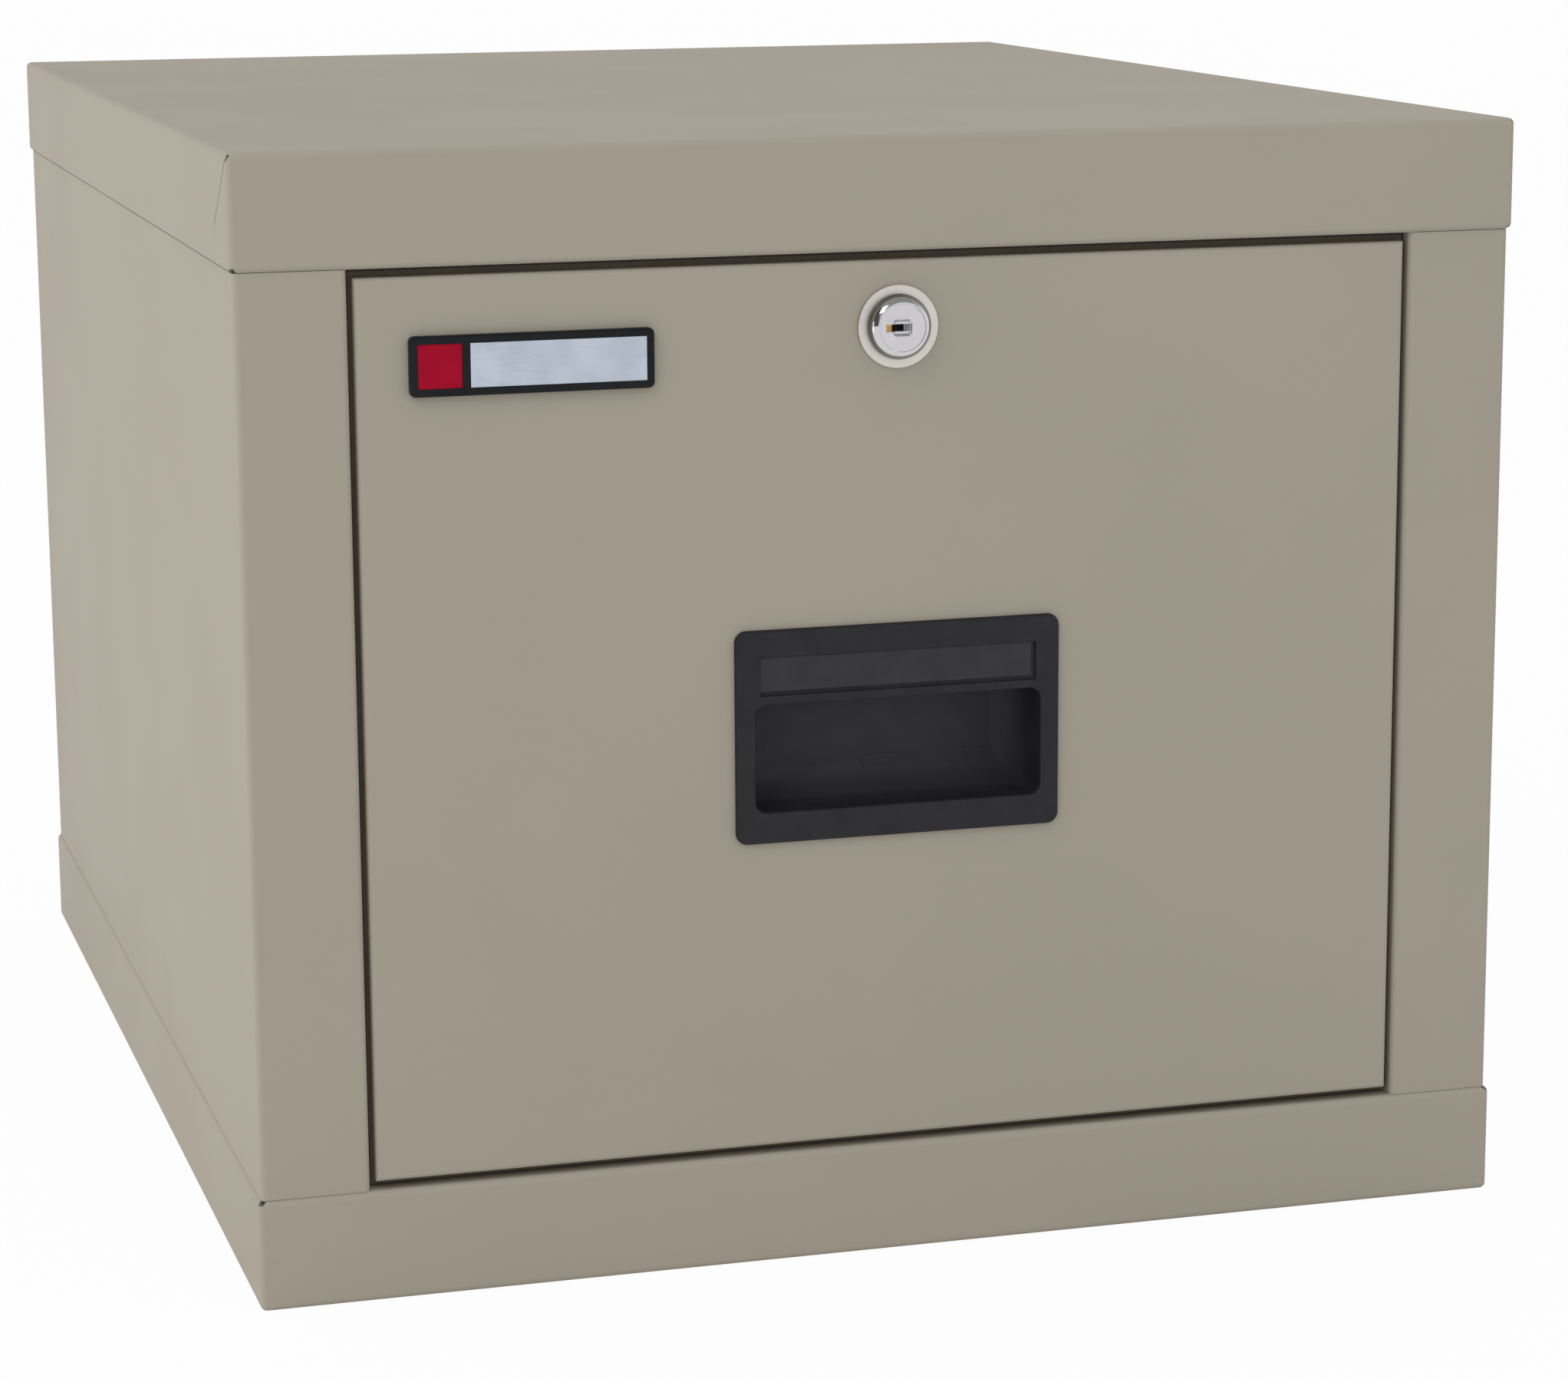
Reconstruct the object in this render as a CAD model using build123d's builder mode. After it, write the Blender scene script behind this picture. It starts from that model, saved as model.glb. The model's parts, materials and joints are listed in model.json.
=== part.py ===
from build123d import *
import math
import os

os.makedirs("parts", exist_ok=True)

# One-drawer insulated steel cabinet with a folded sheet case, a cast filling and a locking drawer.
# Millimetres. X runs to the right, the front faces -Y and Z is up.
# The origin is the centre of the face that the case stands on.

# Case
WIDTH = 451.0
DEPTH = 562.0
HEIGHT = 389.0
CAP_HEIGHT = 38.7          # flange of the top cap
PAN_HEIGHT = 38.7          # skirt of the base pan
SHEET = 1.2                # thickness of the case sheet
BEND = 1.0                 # inside radius of the folds in the case sheet
LIP = 14.0                 # inward return at the free edge of the cap and the pan
JAMB = 37.3                # width of each front jamb
SEAM_WIDTH = 0.6           # open seam where the cap's front flange wraps onto each side
SEAM_DEPTH = 0.9
SEAM_DROP = 25.0
SEAM_SETBACK = 27.0
WELD_WIDTH = 0.4           # the seam is welded shut below the drop
WELD_DEPTH = 0.3
WELD_FOOT_SETBACK = 31.0
CORNER_RELIEF = 0.8        # radius of the relief at the cap's top front corners
RELIEF_INSET = 1.28
NOTCH_WIDTH = 2.2          # bend relief where the front and side lips meet
NOTCH_HEIGHT = 1.6

# Drawer head, the thick insulated front
SIDE_GAP = 2.2
TOP_GAP = 3.0
BOTTOM_GAP = 3.0
HEAD_DEPTH = 45.5
HEAD_BEND = 0.4            # inside radius of the folds in the front panel
INNER_SHEET = 1.0          # thickness of the liner, tray and back plate sheet
BACK_FLANGE = 12.0         # forward flange of the back plate
WELD_GAP = 0.1             # fit between nested sheet parts
SEAL_THICKNESS = 4.0
SEAL_WIDTH = 10.0
SEAL_INSET = 1.0
SEAL_GAP = 0.3

# Compartment
WALL_THICKNESS = 54.1      # side of the compartment to the side of the case
SLIDE_THICKNESS = 12.7
FLOOR_THICKNESS = 60.0     # ground to the floor of the compartment
CEILING_THICKNESS = 53.0   # ceiling of the compartment to the top of the case
BACK_THICKNESS = 53.4      # back of the compartment to the back of the case

# Drawer tray
TRAY_CLEARANCE = 6.0       # under the tray
HEADROOM = 22.0            # above the tray
TRAY_SETBACK = 11.9        # behind the tray
TRAY_FLANGE = 14.0         # length of the end walls' flanges along the sides
HEM = 9.0                  # folded hem on the rims that carry hanging files
BACK_DROP = 20.0           # the back wall is this much lower than the sides
HEM_CLEARANCE = 1.0        # between the hems of the sides and the front wall

# Ball-bearing slides
SLIDE_REST = 5.6           # behind the slides
SLIDE_SETBACK = 2.0        # behind the front flange of the liner
SLIDE_RISE = 60.0          # floor of the compartment to the slide axis
SLIDE_HALF = 22.6
SLIDE_GAUGE = 1.2
MIDDLE_SHORTER = 10.0      # the middle member is shorter than the other two
TRAVEL_SHORTER = 20.0      # the travel is shorter than the slides
BALL = 3.2
BALL_GAP = 0.05            # radial running clearance of the balls
BALL_OFFSET = 6.5          # from the liner wall to the ball rows
CAGE_SHEET = 0.6
CAGE_GAP = 0.3
CAGE_LENGTH = 180.0
CAGE_REACH = 2.4           # width of the cage strips past the ball centres
RACE_LIP = 1.3
BALL_COUNT = 7
BALL_PITCH = 26.0

# Recessed pull
PULL_WIDTH = 116.0
PULL_HEIGHT = 74.0
PULL_DROP = 7.9            # middle of the pull below the middle of the head
PULL_PROUD = 2.0
PULL_CORNER = 4.0
PULL_EDGE = 1.0
PULL_WALL = 2.0
POCKET_WIDTH = 102.5
POCKET_HEIGHT = 37.7
POCKET_SILL = 10.8         # rim below the pocket
POCKET_DEPTH = 25.0
POCKET_CORNER = 4.0
POCKET_COVE = 10.0         # hollow round between the back wall and the floor and sides
FINGER_RISE = 12.0         # undercut for the fingers above the mouth of the pocket
FINGER_WALL = 6.0
PULL_FIT = 0.3
SNAP_WIDTH = 12.0
SNAP_SPACING = 70.0
SNAP_CATCH = 1.5
SNAP_LENGTH = 3.0
PAD_WIDTH = 12.4           # moulded pads on the back wall of the pocket
PAD_HEIGHT = 10.0
PAD_THICKNESS = 0.3
PAD_RISE = 2.1
PAD_MIDDLE = 0.9
PAD_RIGHT = 37.0
LABEL_WIDTH = 99.0
LABEL_HEIGHT = 13.5
LABEL_BROW = 9.2           # rim above the label recess
LABEL_RECESS = 1.2
LABEL_GROOVE = 1.7         # open groove below and to the right of the label plate
LABEL_FIT = 0.2
LABEL_THICKNESS = 0.8

# Nameplate, left plain
PLATE_WIDTH = 82.5
PLATE_HEIGHT = 20.0
PLATE_THICKNESS = 3.0
PLATE_FROM_SIDE = 17.3
PLATE_FROM_TOP = 19.3
PLATE_CORNER = 2.0
PLATE_BORDER = 2.6
INLAY_DEPTH = 0.6
ACCENT_WIDTH = 15.0

# Lock
LOCK_DROP = 22.3           # lock axis below the top of the head
ROSE_RADIUS = 14.15
ROSE_THICKNESS = 1.5
BEZEL_RADIUS = 11.15
BEZEL_HEIGHT = 5.0
BEZEL_STEP = 0.8
CROWN_RADIUS = 8.6
BARREL_RADIUS = 9.5
BARREL_FIT = 0.2
BARREL_LENGTH = 31.3
FACE_RADIUS = 8.05
FACE_THICKNESS = 1.2
FACE_RECESS = 0.2
FACE_GAP = 0.1
PLUG_RADIUS = 6.45
PLUG_GAP = 0.05
TAIL_WIDTH = 5.0
KEYWAY_LEFT = -5.9
KEYWAY_RIGHT = 3.3
KEYWAY_HEIGHT = 2.5
KEYWAY_DEPTH = 18.0
WINDOW_WIDTH = 6.75
WINDOW_HEIGHT = 5.7
WINDOW_CORNER = 1.2
WINDOW_DEPTH = 0.9
NUT_FLATS = 26.0
NUT_THICKNESS = 5.0
CAM_RADIUS = 12.5
CAM_THICKNESS = 2.5
CAM_GAP = 0.4
CAM_SCREW_HEAD = 4.5       # radius of the screw head let into the back of the cam
CAM_SCREW_SINK = 1.2
CAM_SCREW_RADIUS = 1.5
CAM_SCREW_LENGTH = 7.0
TUMBLER_WIDTH = 2.05
TUMBLER_SINK = 0.5
TUMBLER_LENGTH = 6.0
WARD_WIDTH = 0.8           # steps of the guard at the right end of the keyway
WARD_COUNT = 3
WARD_SINK = 0.6
CRANK = 8.0                # from the lock axis to the cam's pin
CRANK_PIN = 2.0            # radius of the pin
CRANK_PIN_LENGTH = 6.0
CRANK_REST = -45.0         # degrees from +X, and the key turns it by KEY_TURN
KEY_TURN = 90.0
BOLT_GAP = 0.7             # between the cam and the bolt
BOLT_FIT = 0.3
BOLT_WIDTH = 28.0
TONGUE_WIDTH = 20.0
BOLT_SHOULDER = 18.0       # height of the wide lower part of the bolt
BOLT_FOOT = 8.3            # from the middle of the pin slot to the foot of the bolt
BOLT_RECESS = 0.9          # the drawn tongue stays this much below the head's top
PIN_CLEARANCE = 0.5
CASE_HALF_WIDTH = 30.0
CASE_BELOW = 24.0          # from the lock axis to the bottom of the lock case
CASE_ABOVE = 17.8
CASE_LENGTH = 26.7
GUIDE_DEPTH = 8.0
STRIKE_CLEARANCE = 2.0
STRIKE_DEPTH = 10.0

# Screws
SCREW_RADIUS = 2.0
SCREW_FIT = 0.1
SCREW_HEAD_RADIUS = 4.0
WAFER_HEAD = 0.9
PAN_HEAD = 2.2
TRAY_SCREW_ROWS = 3
TRAY_SCREW_PITCH = 85.0
FRONT_SCREW_INSET = 7.0    # of the front wall's screws from the sides and the floor
FRONT_SCREW_MARGIN = 39.0  # of its side screws from the bottom and the top of the tray
SCREW_TAIL = 4.0           # past the sheet that the screw is driven into

# Places worked out from the sizes above
FOLD = BEND + SHEET
CAST_GAP = 0.4 * BEND      # the cast filling clears the inside of the folds
CASE_FRONT = -DEPTH / 2
FACE = CASE_FRONT + SHEET
OPENING_HALF = WIDTH / 2 - SHEET - JAMB
OPENING_LOW = PAN_HEIGHT
OPENING_HIGH = HEIGHT - CAP_HEIGHT
OPENING_CENTRE = (OPENING_LOW + OPENING_HIGH) / 2
HEAD_WIDTH = 2 * (OPENING_HALF - SIDE_GAP)
HEAD_LOW = OPENING_LOW + BOTTOM_GAP
HEAD_HIGH = OPENING_HIGH - TOP_GAP
HEAD_HEIGHT = HEAD_HIGH - HEAD_LOW
HEAD_CENTRE = (HEAD_LOW + HEAD_HIGH) / 2
HEAD_BACK = FACE + HEAD_DEPTH
THROAT_BACK = HEAD_BACK + SEAL_THICKNESS + SEAL_GAP
LINER_HALF = WIDTH / 2 - WALL_THICKNESS
DRAWER_WIDTH = 2 * (LINER_HALF - SLIDE_THICKNESS)
LINER_HIGH = HEIGHT - CEILING_THICKNESS
LINER_TALL = LINER_HIGH - FLOOR_THICKNESS
LINER_CENTRE = (LINER_HIGH + FLOOR_THICKNESS) / 2
LINER_BACK = DEPTH / 2 - BACK_THICKNESS
LINER_LENGTH = LINER_BACK - THROAT_BACK
TRAY_LOW = FLOOR_THICKNESS + TRAY_CLEARANCE
TRAY_HIGH = LINER_HIGH - HEADROOM
TRAY_HEIGHT = TRAY_HIGH - TRAY_LOW
TRAY_BACK = LINER_BACK - TRAY_SETBACK
TRAY_LENGTH = TRAY_BACK - HEAD_BACK
SLIDE_FRONT = THROAT_BACK + SLIDE_SETBACK
SLIDE_BACK = LINER_BACK - SLIDE_REST
SLIDE_LENGTH = SLIDE_BACK - SLIDE_FRONT
SLIDE_CENTRE = FLOOR_THICKNESS + SLIDE_RISE
TRAVEL = SLIDE_LENGTH - TRAVEL_SHORTER
MIDDLE_LENGTH = SLIDE_LENGTH - MIDDLE_SHORTER
MIDDLE_FRONT = SLIDE_FRONT + SLIDE_SETBACK
MIDDLE_BACK = MIDDLE_FRONT + MIDDLE_LENGTH
PULL_CENTRE = HEAD_CENTRE - PULL_DROP
POCKET_BOTTOM = PULL_CENTRE - PULL_HEIGHT / 2 + POCKET_SILL
POCKET_TOP = POCKET_BOTTOM + POCKET_HEIGHT
POCKET_BACK = FACE + POCKET_DEPTH
FINGER_TOP = POCKET_TOP + FINGER_RISE
LABEL_CENTRE = PULL_CENTRE + PULL_HEIGHT / 2 - LABEL_BROW - LABEL_HEIGHT / 2
PLATE_CENTRE_X = (PLATE_WIDTH - HEAD_WIDTH) / 2 + PLATE_FROM_SIDE
PLATE_CENTRE_Z = HEAD_HIGH - PLATE_FROM_TOP - PLATE_HEIGHT / 2
LOCK_CENTRE = HEAD_HIGH - LOCK_DROP
PIN_REST_X = CRANK * math.cos(math.radians(CRANK_REST))
PIN_REST_Z = LOCK_CENTRE + CRANK * math.sin(math.radians(CRANK_REST))
BOLT_TRAVEL = CRANK * (
    math.sin(math.radians(CRANK_REST + KEY_TURN)) - math.sin(math.radians(CRANK_REST))
)
BARREL_END = FACE - ROSE_THICKNESS + BARREL_LENGTH
CAM_BACK = BARREL_END + CAM_GAP + CAM_THICKNESS
BOLT_FRONT = CAM_BACK + BOLT_GAP
LOCK_CASE_BACK = HEAD_BACK - INNER_SHEET
BOLT_BACK = LOCK_CASE_BACK - INNER_SHEET - BOLT_FIT
BOLT_HIGH = HEAD_HIGH - BOLT_RECESS
BOLT_LOW = PIN_REST_Z - BOLT_FOOT
BOLT_THICKNESS = BOLT_BACK - BOLT_FRONT
BOLT_MIDDLE = (BOLT_BACK + BOLT_FRONT) / 2


def facing_front(y):
    """Plane seen from the front: its x is +X, its y is +Z and its normal is -Y."""
    return Plane(origin=(0, y, 0), x_dir=(1, 0, 0), z_dir=(0, -1, 0))


def facing_side(x):
    """Plane seen from the right: its x is +Y, its y is +Z and its normal is +X."""
    return Plane(origin=(x, 0, 0), x_dir=(0, 1, 0), z_dir=(1, 0, 0))


def lying_at(x, y, z):
    """Plane seen from the front with its origin at a point, for discs and barrels along Y."""
    return Plane(origin=(x, y, z), x_dir=(1, 0, 0), z_dir=(0, -1, 0))


# Top cap and base pan: folded trays with inward lips at their free edges
def folded_tray(bottom, height):
    """Adds a closed hollow box of case sheet with rounded folds to the active part."""
    with BuildSketch(Plane.XY.offset(bottom)) as outline:
        RectangleRounded(WIDTH, DEPTH, FOLD)
    block = extrude(outline.sketch, amount=height)
    fillet(block.edges().group_by(Axis.Z)[0] + block.edges().group_by(Axis.Z)[-1], FOLD)
    offset(amount=-SHEET, mode=Mode.SUBTRACT)


def cut_lip_opening(bottom):
    """Opens the lip side of a folded tray."""
    with BuildSketch(Plane.XY.offset(bottom)) as opening:
        Rectangle(WIDTH - 2 * LIP, DEPTH - 2 * LIP)
    extrude(opening.sketch, amount=SHEET, mode=Mode.SUBTRACT)


def cut_corner_notches(low):
    """Cuts the bend relief through the lip at both front corners."""
    for side in (-1, 1):
        corner = Location((side * WIDTH / 2, CASE_FRONT, low + NOTCH_HEIGHT / 2), (0, 0, side * 45))
        with Locations(corner):
            Box(NOTCH_WIDTH, 4 * FOLD, NOTCH_HEIGHT, mode=Mode.SUBTRACT)


SEAM_HEAD = (CASE_FRONT, HEIGHT - FOLD / 2)
SEAM_KNEE = (CASE_FRONT + SEAM_SETBACK, HEIGHT - SEAM_DROP)
WELD_FOOT = (CASE_FRONT + WELD_FOOT_SETBACK, OPENING_HIGH)
with BuildPart() as top_cap:
    folded_tray(OPENING_HIGH, CAP_HEIGHT)
    cut_lip_opening(OPENING_HIGH)
    cut_corner_notches(OPENING_HIGH)
    for side in (-1, 1):
        for start, end, width, depth in (
            (SEAM_HEAD, SEAM_KNEE, SEAM_WIDTH, SEAM_DEPTH),
            (SEAM_KNEE, WELD_FOOT, WELD_WIDTH, WELD_DEPTH),
        ):
            with BuildSketch(facing_side(side * WIDTH / 2)):
                with BuildLine():
                    Line(start, end)
                trace(line_width=width)
            extrude(amount=-side * depth, mode=Mode.SUBTRACT)
        with Locations(
            (side * (WIDTH / 2 - RELIEF_INSET), CASE_FRONT + RELIEF_INSET, HEIGHT - RELIEF_INSET)
        ):
            Sphere(CORNER_RELIEF, mode=Mode.SUBTRACT)
top_cap.part.label = "top_cap"
export_step(top_cap.part, "parts/top_cap.step")

with BuildPart() as base_pan:
    folded_tray(0, PAN_HEIGHT)
    cut_lip_opening(PAN_HEIGHT - SHEET)
    cut_corner_notches(PAN_HEIGHT - NOTCH_HEIGHT)
base_pan.part.label = "base_pan"
export_step(base_pan.part, "parts/base_pan.step")

# Outer wrapper: one sheet folded round the back, the sides and the two front jambs
WRAP_HALF = WIDTH / 2 - 1.5 * SHEET
WRAP_BACK = DEPTH / 2 - 1.5 * SHEET
RETURN_X = OPENING_HALF + SHEET / 2
FACE_MIDDLE = FACE + SHEET / 2
RETURN_BACK = THROAT_BACK + INNER_SHEET

with BuildPart() as outer_wrapper:
    with BuildSketch(Plane.XY.offset(OPENING_LOW)):
        with BuildLine():
            FilletPolyline(
                (RETURN_X, RETURN_BACK),
                (RETURN_X, FACE_MIDDLE),
                (WRAP_HALF, FACE_MIDDLE),
                (WRAP_HALF, WRAP_BACK),
                (-WRAP_HALF, WRAP_BACK),
                (-WRAP_HALF, FACE_MIDDLE),
                (-RETURN_X, FACE_MIDDLE),
                (-RETURN_X, RETURN_BACK),
                radius=BEND + SHEET / 2,
            )
        trace(line_width=SHEET)
    extrude(amount=OPENING_HIGH - OPENING_LOW)
outer_wrapper.part.label = "outer_wrapper"
export_step(outer_wrapper.part, "parts/outer_wrapper.step")

# Throat plates that close the case above and below the drawer head
SLOT_WIDTH = TONGUE_WIDTH + 2 * STRIKE_CLEARANCE
SLOT_LENGTH = BOLT_THICKNESS + 2 * STRIKE_CLEARANCE
PLATE_FRONT = CASE_FRONT + LIP
PLATE_LENGTH = RETURN_BACK - PLATE_FRONT
PLATE_MIDDLE = (RETURN_BACK + PLATE_FRONT) / 2

with BuildPart() as header_plate:
    with BuildSketch(Plane.XY.offset(OPENING_HIGH)):
        with Locations((0, PLATE_MIDDLE)):
            Rectangle(2 * (OPENING_HALF + SHEET), PLATE_LENGTH)
        with Locations((0, BOLT_MIDDLE)):
            Rectangle(SLOT_WIDTH, SLOT_LENGTH, mode=Mode.SUBTRACT)
    extrude(amount=SHEET)
header_plate.part.label = "header_plate"
export_step(header_plate.part, "parts/header_plate.step")

with BuildPart() as sill_plate:
    with BuildSketch(Plane.XY.offset(OPENING_LOW - SHEET)):
        with Locations((0, PLATE_MIDDLE)):
            Rectangle(2 * (OPENING_HALF + SHEET), PLATE_LENGTH)
    extrude(amount=SHEET)
sill_plate.part.label = "sill_plate"
export_step(sill_plate.part, "parts/sill_plate.step")

# Strike box: a cup over the slot in the header that takes the bolt
STRIKE_LOW = OPENING_HIGH + SHEET
with BuildPart() as strike_box:
    with BuildSketch(Plane.XY.offset(STRIKE_LOW)):
        with Locations((0, BOLT_MIDDLE)):
            Rectangle(SLOT_WIDTH + 2 * SHEET, SLOT_LENGTH + 2 * SHEET)
    extrude(amount=STRIKE_DEPTH)
    offset(amount=-SHEET, openings=strike_box.faces().sort_by(Axis.Z)[0])
strike_box.part.label = "strike_box"
export_step(strike_box.part, "parts/strike_box.step")

# Places of the slide screws along Y: the front one clears the cage, the others sit behind it
OUTER_CAGE_MIDDLE = (SLIDE_FRONT + MIDDLE_BACK - TRAVEL / 2) / 2 + TRAVEL / 4
INNER_CAGE_MIDDLE = (MIDDLE_FRONT - TRAVEL / 2 + SLIDE_BACK - TRAVEL) / 2 + 3 * TRAVEL / 4
CAGE_BACK = OUTER_CAGE_MIDDLE + CAGE_LENGTH / 2
CABINET_SCREW_PLACES = (
    SLIDE_FRONT + 2.5 * SCREW_HEAD_RADIUS,
    CAGE_BACK + 4 * SCREW_HEAD_RADIUS,
    SLIDE_BACK - 5 * SCREW_HEAD_RADIUS,
)
DRAWER_SCREW_PLACES = (
    SLIDE_FRONT + 5 * SCREW_HEAD_RADIUS,
    (SLIDE_FRONT + SLIDE_BACK) / 2,
    min(SLIDE_BACK, TRAY_BACK - TRAY_FLANGE) - 3 * SCREW_HEAD_RADIUS,
)


def screw_places(offset, places):
    """Locations of the slide screws of both sides, along X at an offset from the middle."""
    return [
        Location((side * offset, place, SLIDE_CENTRE), (0, side * 90, 0))
        for side in (-1, 1)
        for place in places
    ]


# Compartment liner: a five-sided steel box with a front flange that closes the throat
with BuildPart() as compartment_liner:
    with BuildSketch(facing_front(THROAT_BACK)):
        with Locations((0, OPENING_CENTRE)):
            Rectangle(2 * OPENING_HALF, OPENING_HIGH - OPENING_LOW)
    extrude(amount=-INNER_SHEET)
    with BuildSketch(facing_front(THROAT_BACK)):
        with Locations((0, LINER_CENTRE)):
            Rectangle(2 * (LINER_HALF + INNER_SHEET), LINER_TALL + 2 * INNER_SHEET)
    extrude(amount=-(LINER_LENGTH + INNER_SHEET))
    with BuildSketch(facing_front(THROAT_BACK)):
        with Locations((0, LINER_CENTRE)):
            Rectangle(2 * LINER_HALF, LINER_TALL)
    extrude(amount=-LINER_LENGTH, mode=Mode.SUBTRACT)
    with Locations(*screw_places(LINER_HALF + INNER_SHEET / 2, CABINET_SCREW_PLACES)):
        Cylinder(SCREW_RADIUS + SCREW_FIT, 2 * INNER_SHEET, mode=Mode.SUBTRACT)
compartment_liner.part.label = "compartment_liner"
export_step(compartment_liner.part, "parts/compartment_liner.step")

# Cast filling of the cabinet: pan, wrapper and cap are filled in one pour round the liner
NECK = 2 * (LIP + CAST_GAP)
CAST_INSET = 2 * (SHEET + CAST_GAP)
WRAP_INSET = CAST_INSET + 2 * SHEET
VOID_LOW = OPENING_LOW - SHEET - CAST_GAP
VOID_HIGH = OPENING_HIGH + SHEET + CAST_GAP
VOID_BACK = RETURN_BACK + CAST_GAP

with BuildPart() as cabinet_insulation:
    with BuildSketch(Plane.XY.offset(SHEET + CAST_GAP)):
        RectangleRounded(WIDTH - CAST_INSET, DEPTH - CAST_INSET, FOLD)
    extrude(amount=PAN_HEIGHT - CAST_INSET)
    with BuildSketch(Plane.XY.offset(OPENING_HIGH + SHEET + CAST_GAP)):
        RectangleRounded(WIDTH - CAST_INSET, DEPTH - CAST_INSET, FOLD)
    extrude(amount=CAP_HEIGHT - CAST_INSET)
    with BuildSketch(Plane.XY.offset(PAN_HEIGHT - FOLD - CAST_GAP)):
        Rectangle(WIDTH - NECK, DEPTH - NECK)
    extrude(amount=OPENING_HIGH - PAN_HEIGHT + 2 * (FOLD + CAST_GAP))
    with BuildSketch(Plane.XY.offset(OPENING_LOW + CAST_GAP)):
        RectangleRounded(WIDTH - WRAP_INSET, DEPTH - WRAP_INSET, FOLD)
    extrude(amount=OPENING_HIGH - OPENING_LOW - 2 * CAST_GAP)
    with BuildSketch(facing_front(CASE_FRONT)):
        with Locations((0, (VOID_LOW + VOID_HIGH) / 2)):
            Rectangle(2 * (OPENING_HALF + SHEET + CAST_GAP), VOID_HIGH - VOID_LOW)
    extrude(amount=CASE_FRONT - VOID_BACK, mode=Mode.SUBTRACT)
    with BuildSketch(facing_front(CASE_FRONT)):
        with Locations((0, LINER_CENTRE)):
            Rectangle(
                2 * (LINER_HALF + INNER_SHEET + CAST_GAP),
                LINER_TALL + 2 * (INNER_SHEET + CAST_GAP),
            )
    extrude(amount=CASE_FRONT - LINER_BACK - INNER_SHEET - CAST_GAP, mode=Mode.SUBTRACT)
    with Locations((0, BOLT_MIDDLE, STRIKE_LOW)):
        Box(
            SLOT_WIDTH + 2 * (SHEET + CAST_GAP),
            SLOT_LENGTH + 2 * (SHEET + CAST_GAP),
            2 * (STRIKE_DEPTH + CAST_GAP),
            mode=Mode.SUBTRACT,
        )
    with Locations(*screw_places(LINER_HALF, CABINET_SCREW_PLACES)):
        Cylinder(
            SCREW_RADIUS + CAST_GAP,
            2 * (INNER_SHEET + SCREW_TAIL + CAST_GAP),
            mode=Mode.SUBTRACT,
        )
cabinet_insulation.part.label = "cabinet_insulation"
export_step(cabinet_insulation.part, "parts/cabinet_insulation.step")

# Three-member slides. Levels are heights above the slide axis, and offsets run from the liner wall.
OUTER_RACE = SLIDE_HALF - SLIDE_GAUGE
OUTER_BALLS = OUTER_RACE - BALL_GAP - BALL / 2
MIDDLE_TOP = OUTER_BALLS - BALL / 2 - BALL_GAP
MIDDLE_RACE = MIDDLE_TOP - SLIDE_GAUGE
INNER_BALLS = MIDDLE_RACE - BALL_GAP - BALL / 2
INNER_TOP = INNER_BALLS - BALL / 2 - BALL_GAP
OUTER_CAGE_OFFSET = SLIDE_GAUGE + CAGE_GAP
MIDDLE_OFFSET = OUTER_CAGE_OFFSET + CAGE_SHEET + CAGE_GAP
INNER_CAGE_OFFSET = MIDDLE_OFFSET + SLIDE_GAUGE + CAGE_GAP
INNER_OFFSET = INNER_CAGE_OFFSET + CAGE_SHEET + CAGE_GAP
RACE_END = SLIDE_THICKNESS - SLIDE_GAUGE - 3 * CAGE_GAP
CAGE_END = BALL_OFFSET + CAGE_REACH


def section_bar(side, near, far, low, high):
    """Adds a bar to a slide section: near and far from the liner wall, low and high from the axis."""
    with Locations((side * (LINER_HALF - (near + far) / 2), SLIDE_CENTRE + (low + high) / 2)):
        Rectangle(far - near, high - low)


def section_pair(side, near, far, low, high):
    """Adds a bar above the slide axis and its mirror image below it."""
    section_bar(side, near, far, low, high)
    section_bar(side, near, far, -high, -low)


def ball_places(side, level, middle):
    """Centres of the upper and lower ball rows of one slide."""
    first = middle - (BALL_COUNT - 1) / 2 * BALL_PITCH
    return [
        (side * (LINER_HALF - BALL_OFFSET), first + number * BALL_PITCH, SLIDE_CENTRE + row * level)
        for number in range(BALL_COUNT)
        for row in (-1, 1)
    ]


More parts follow.
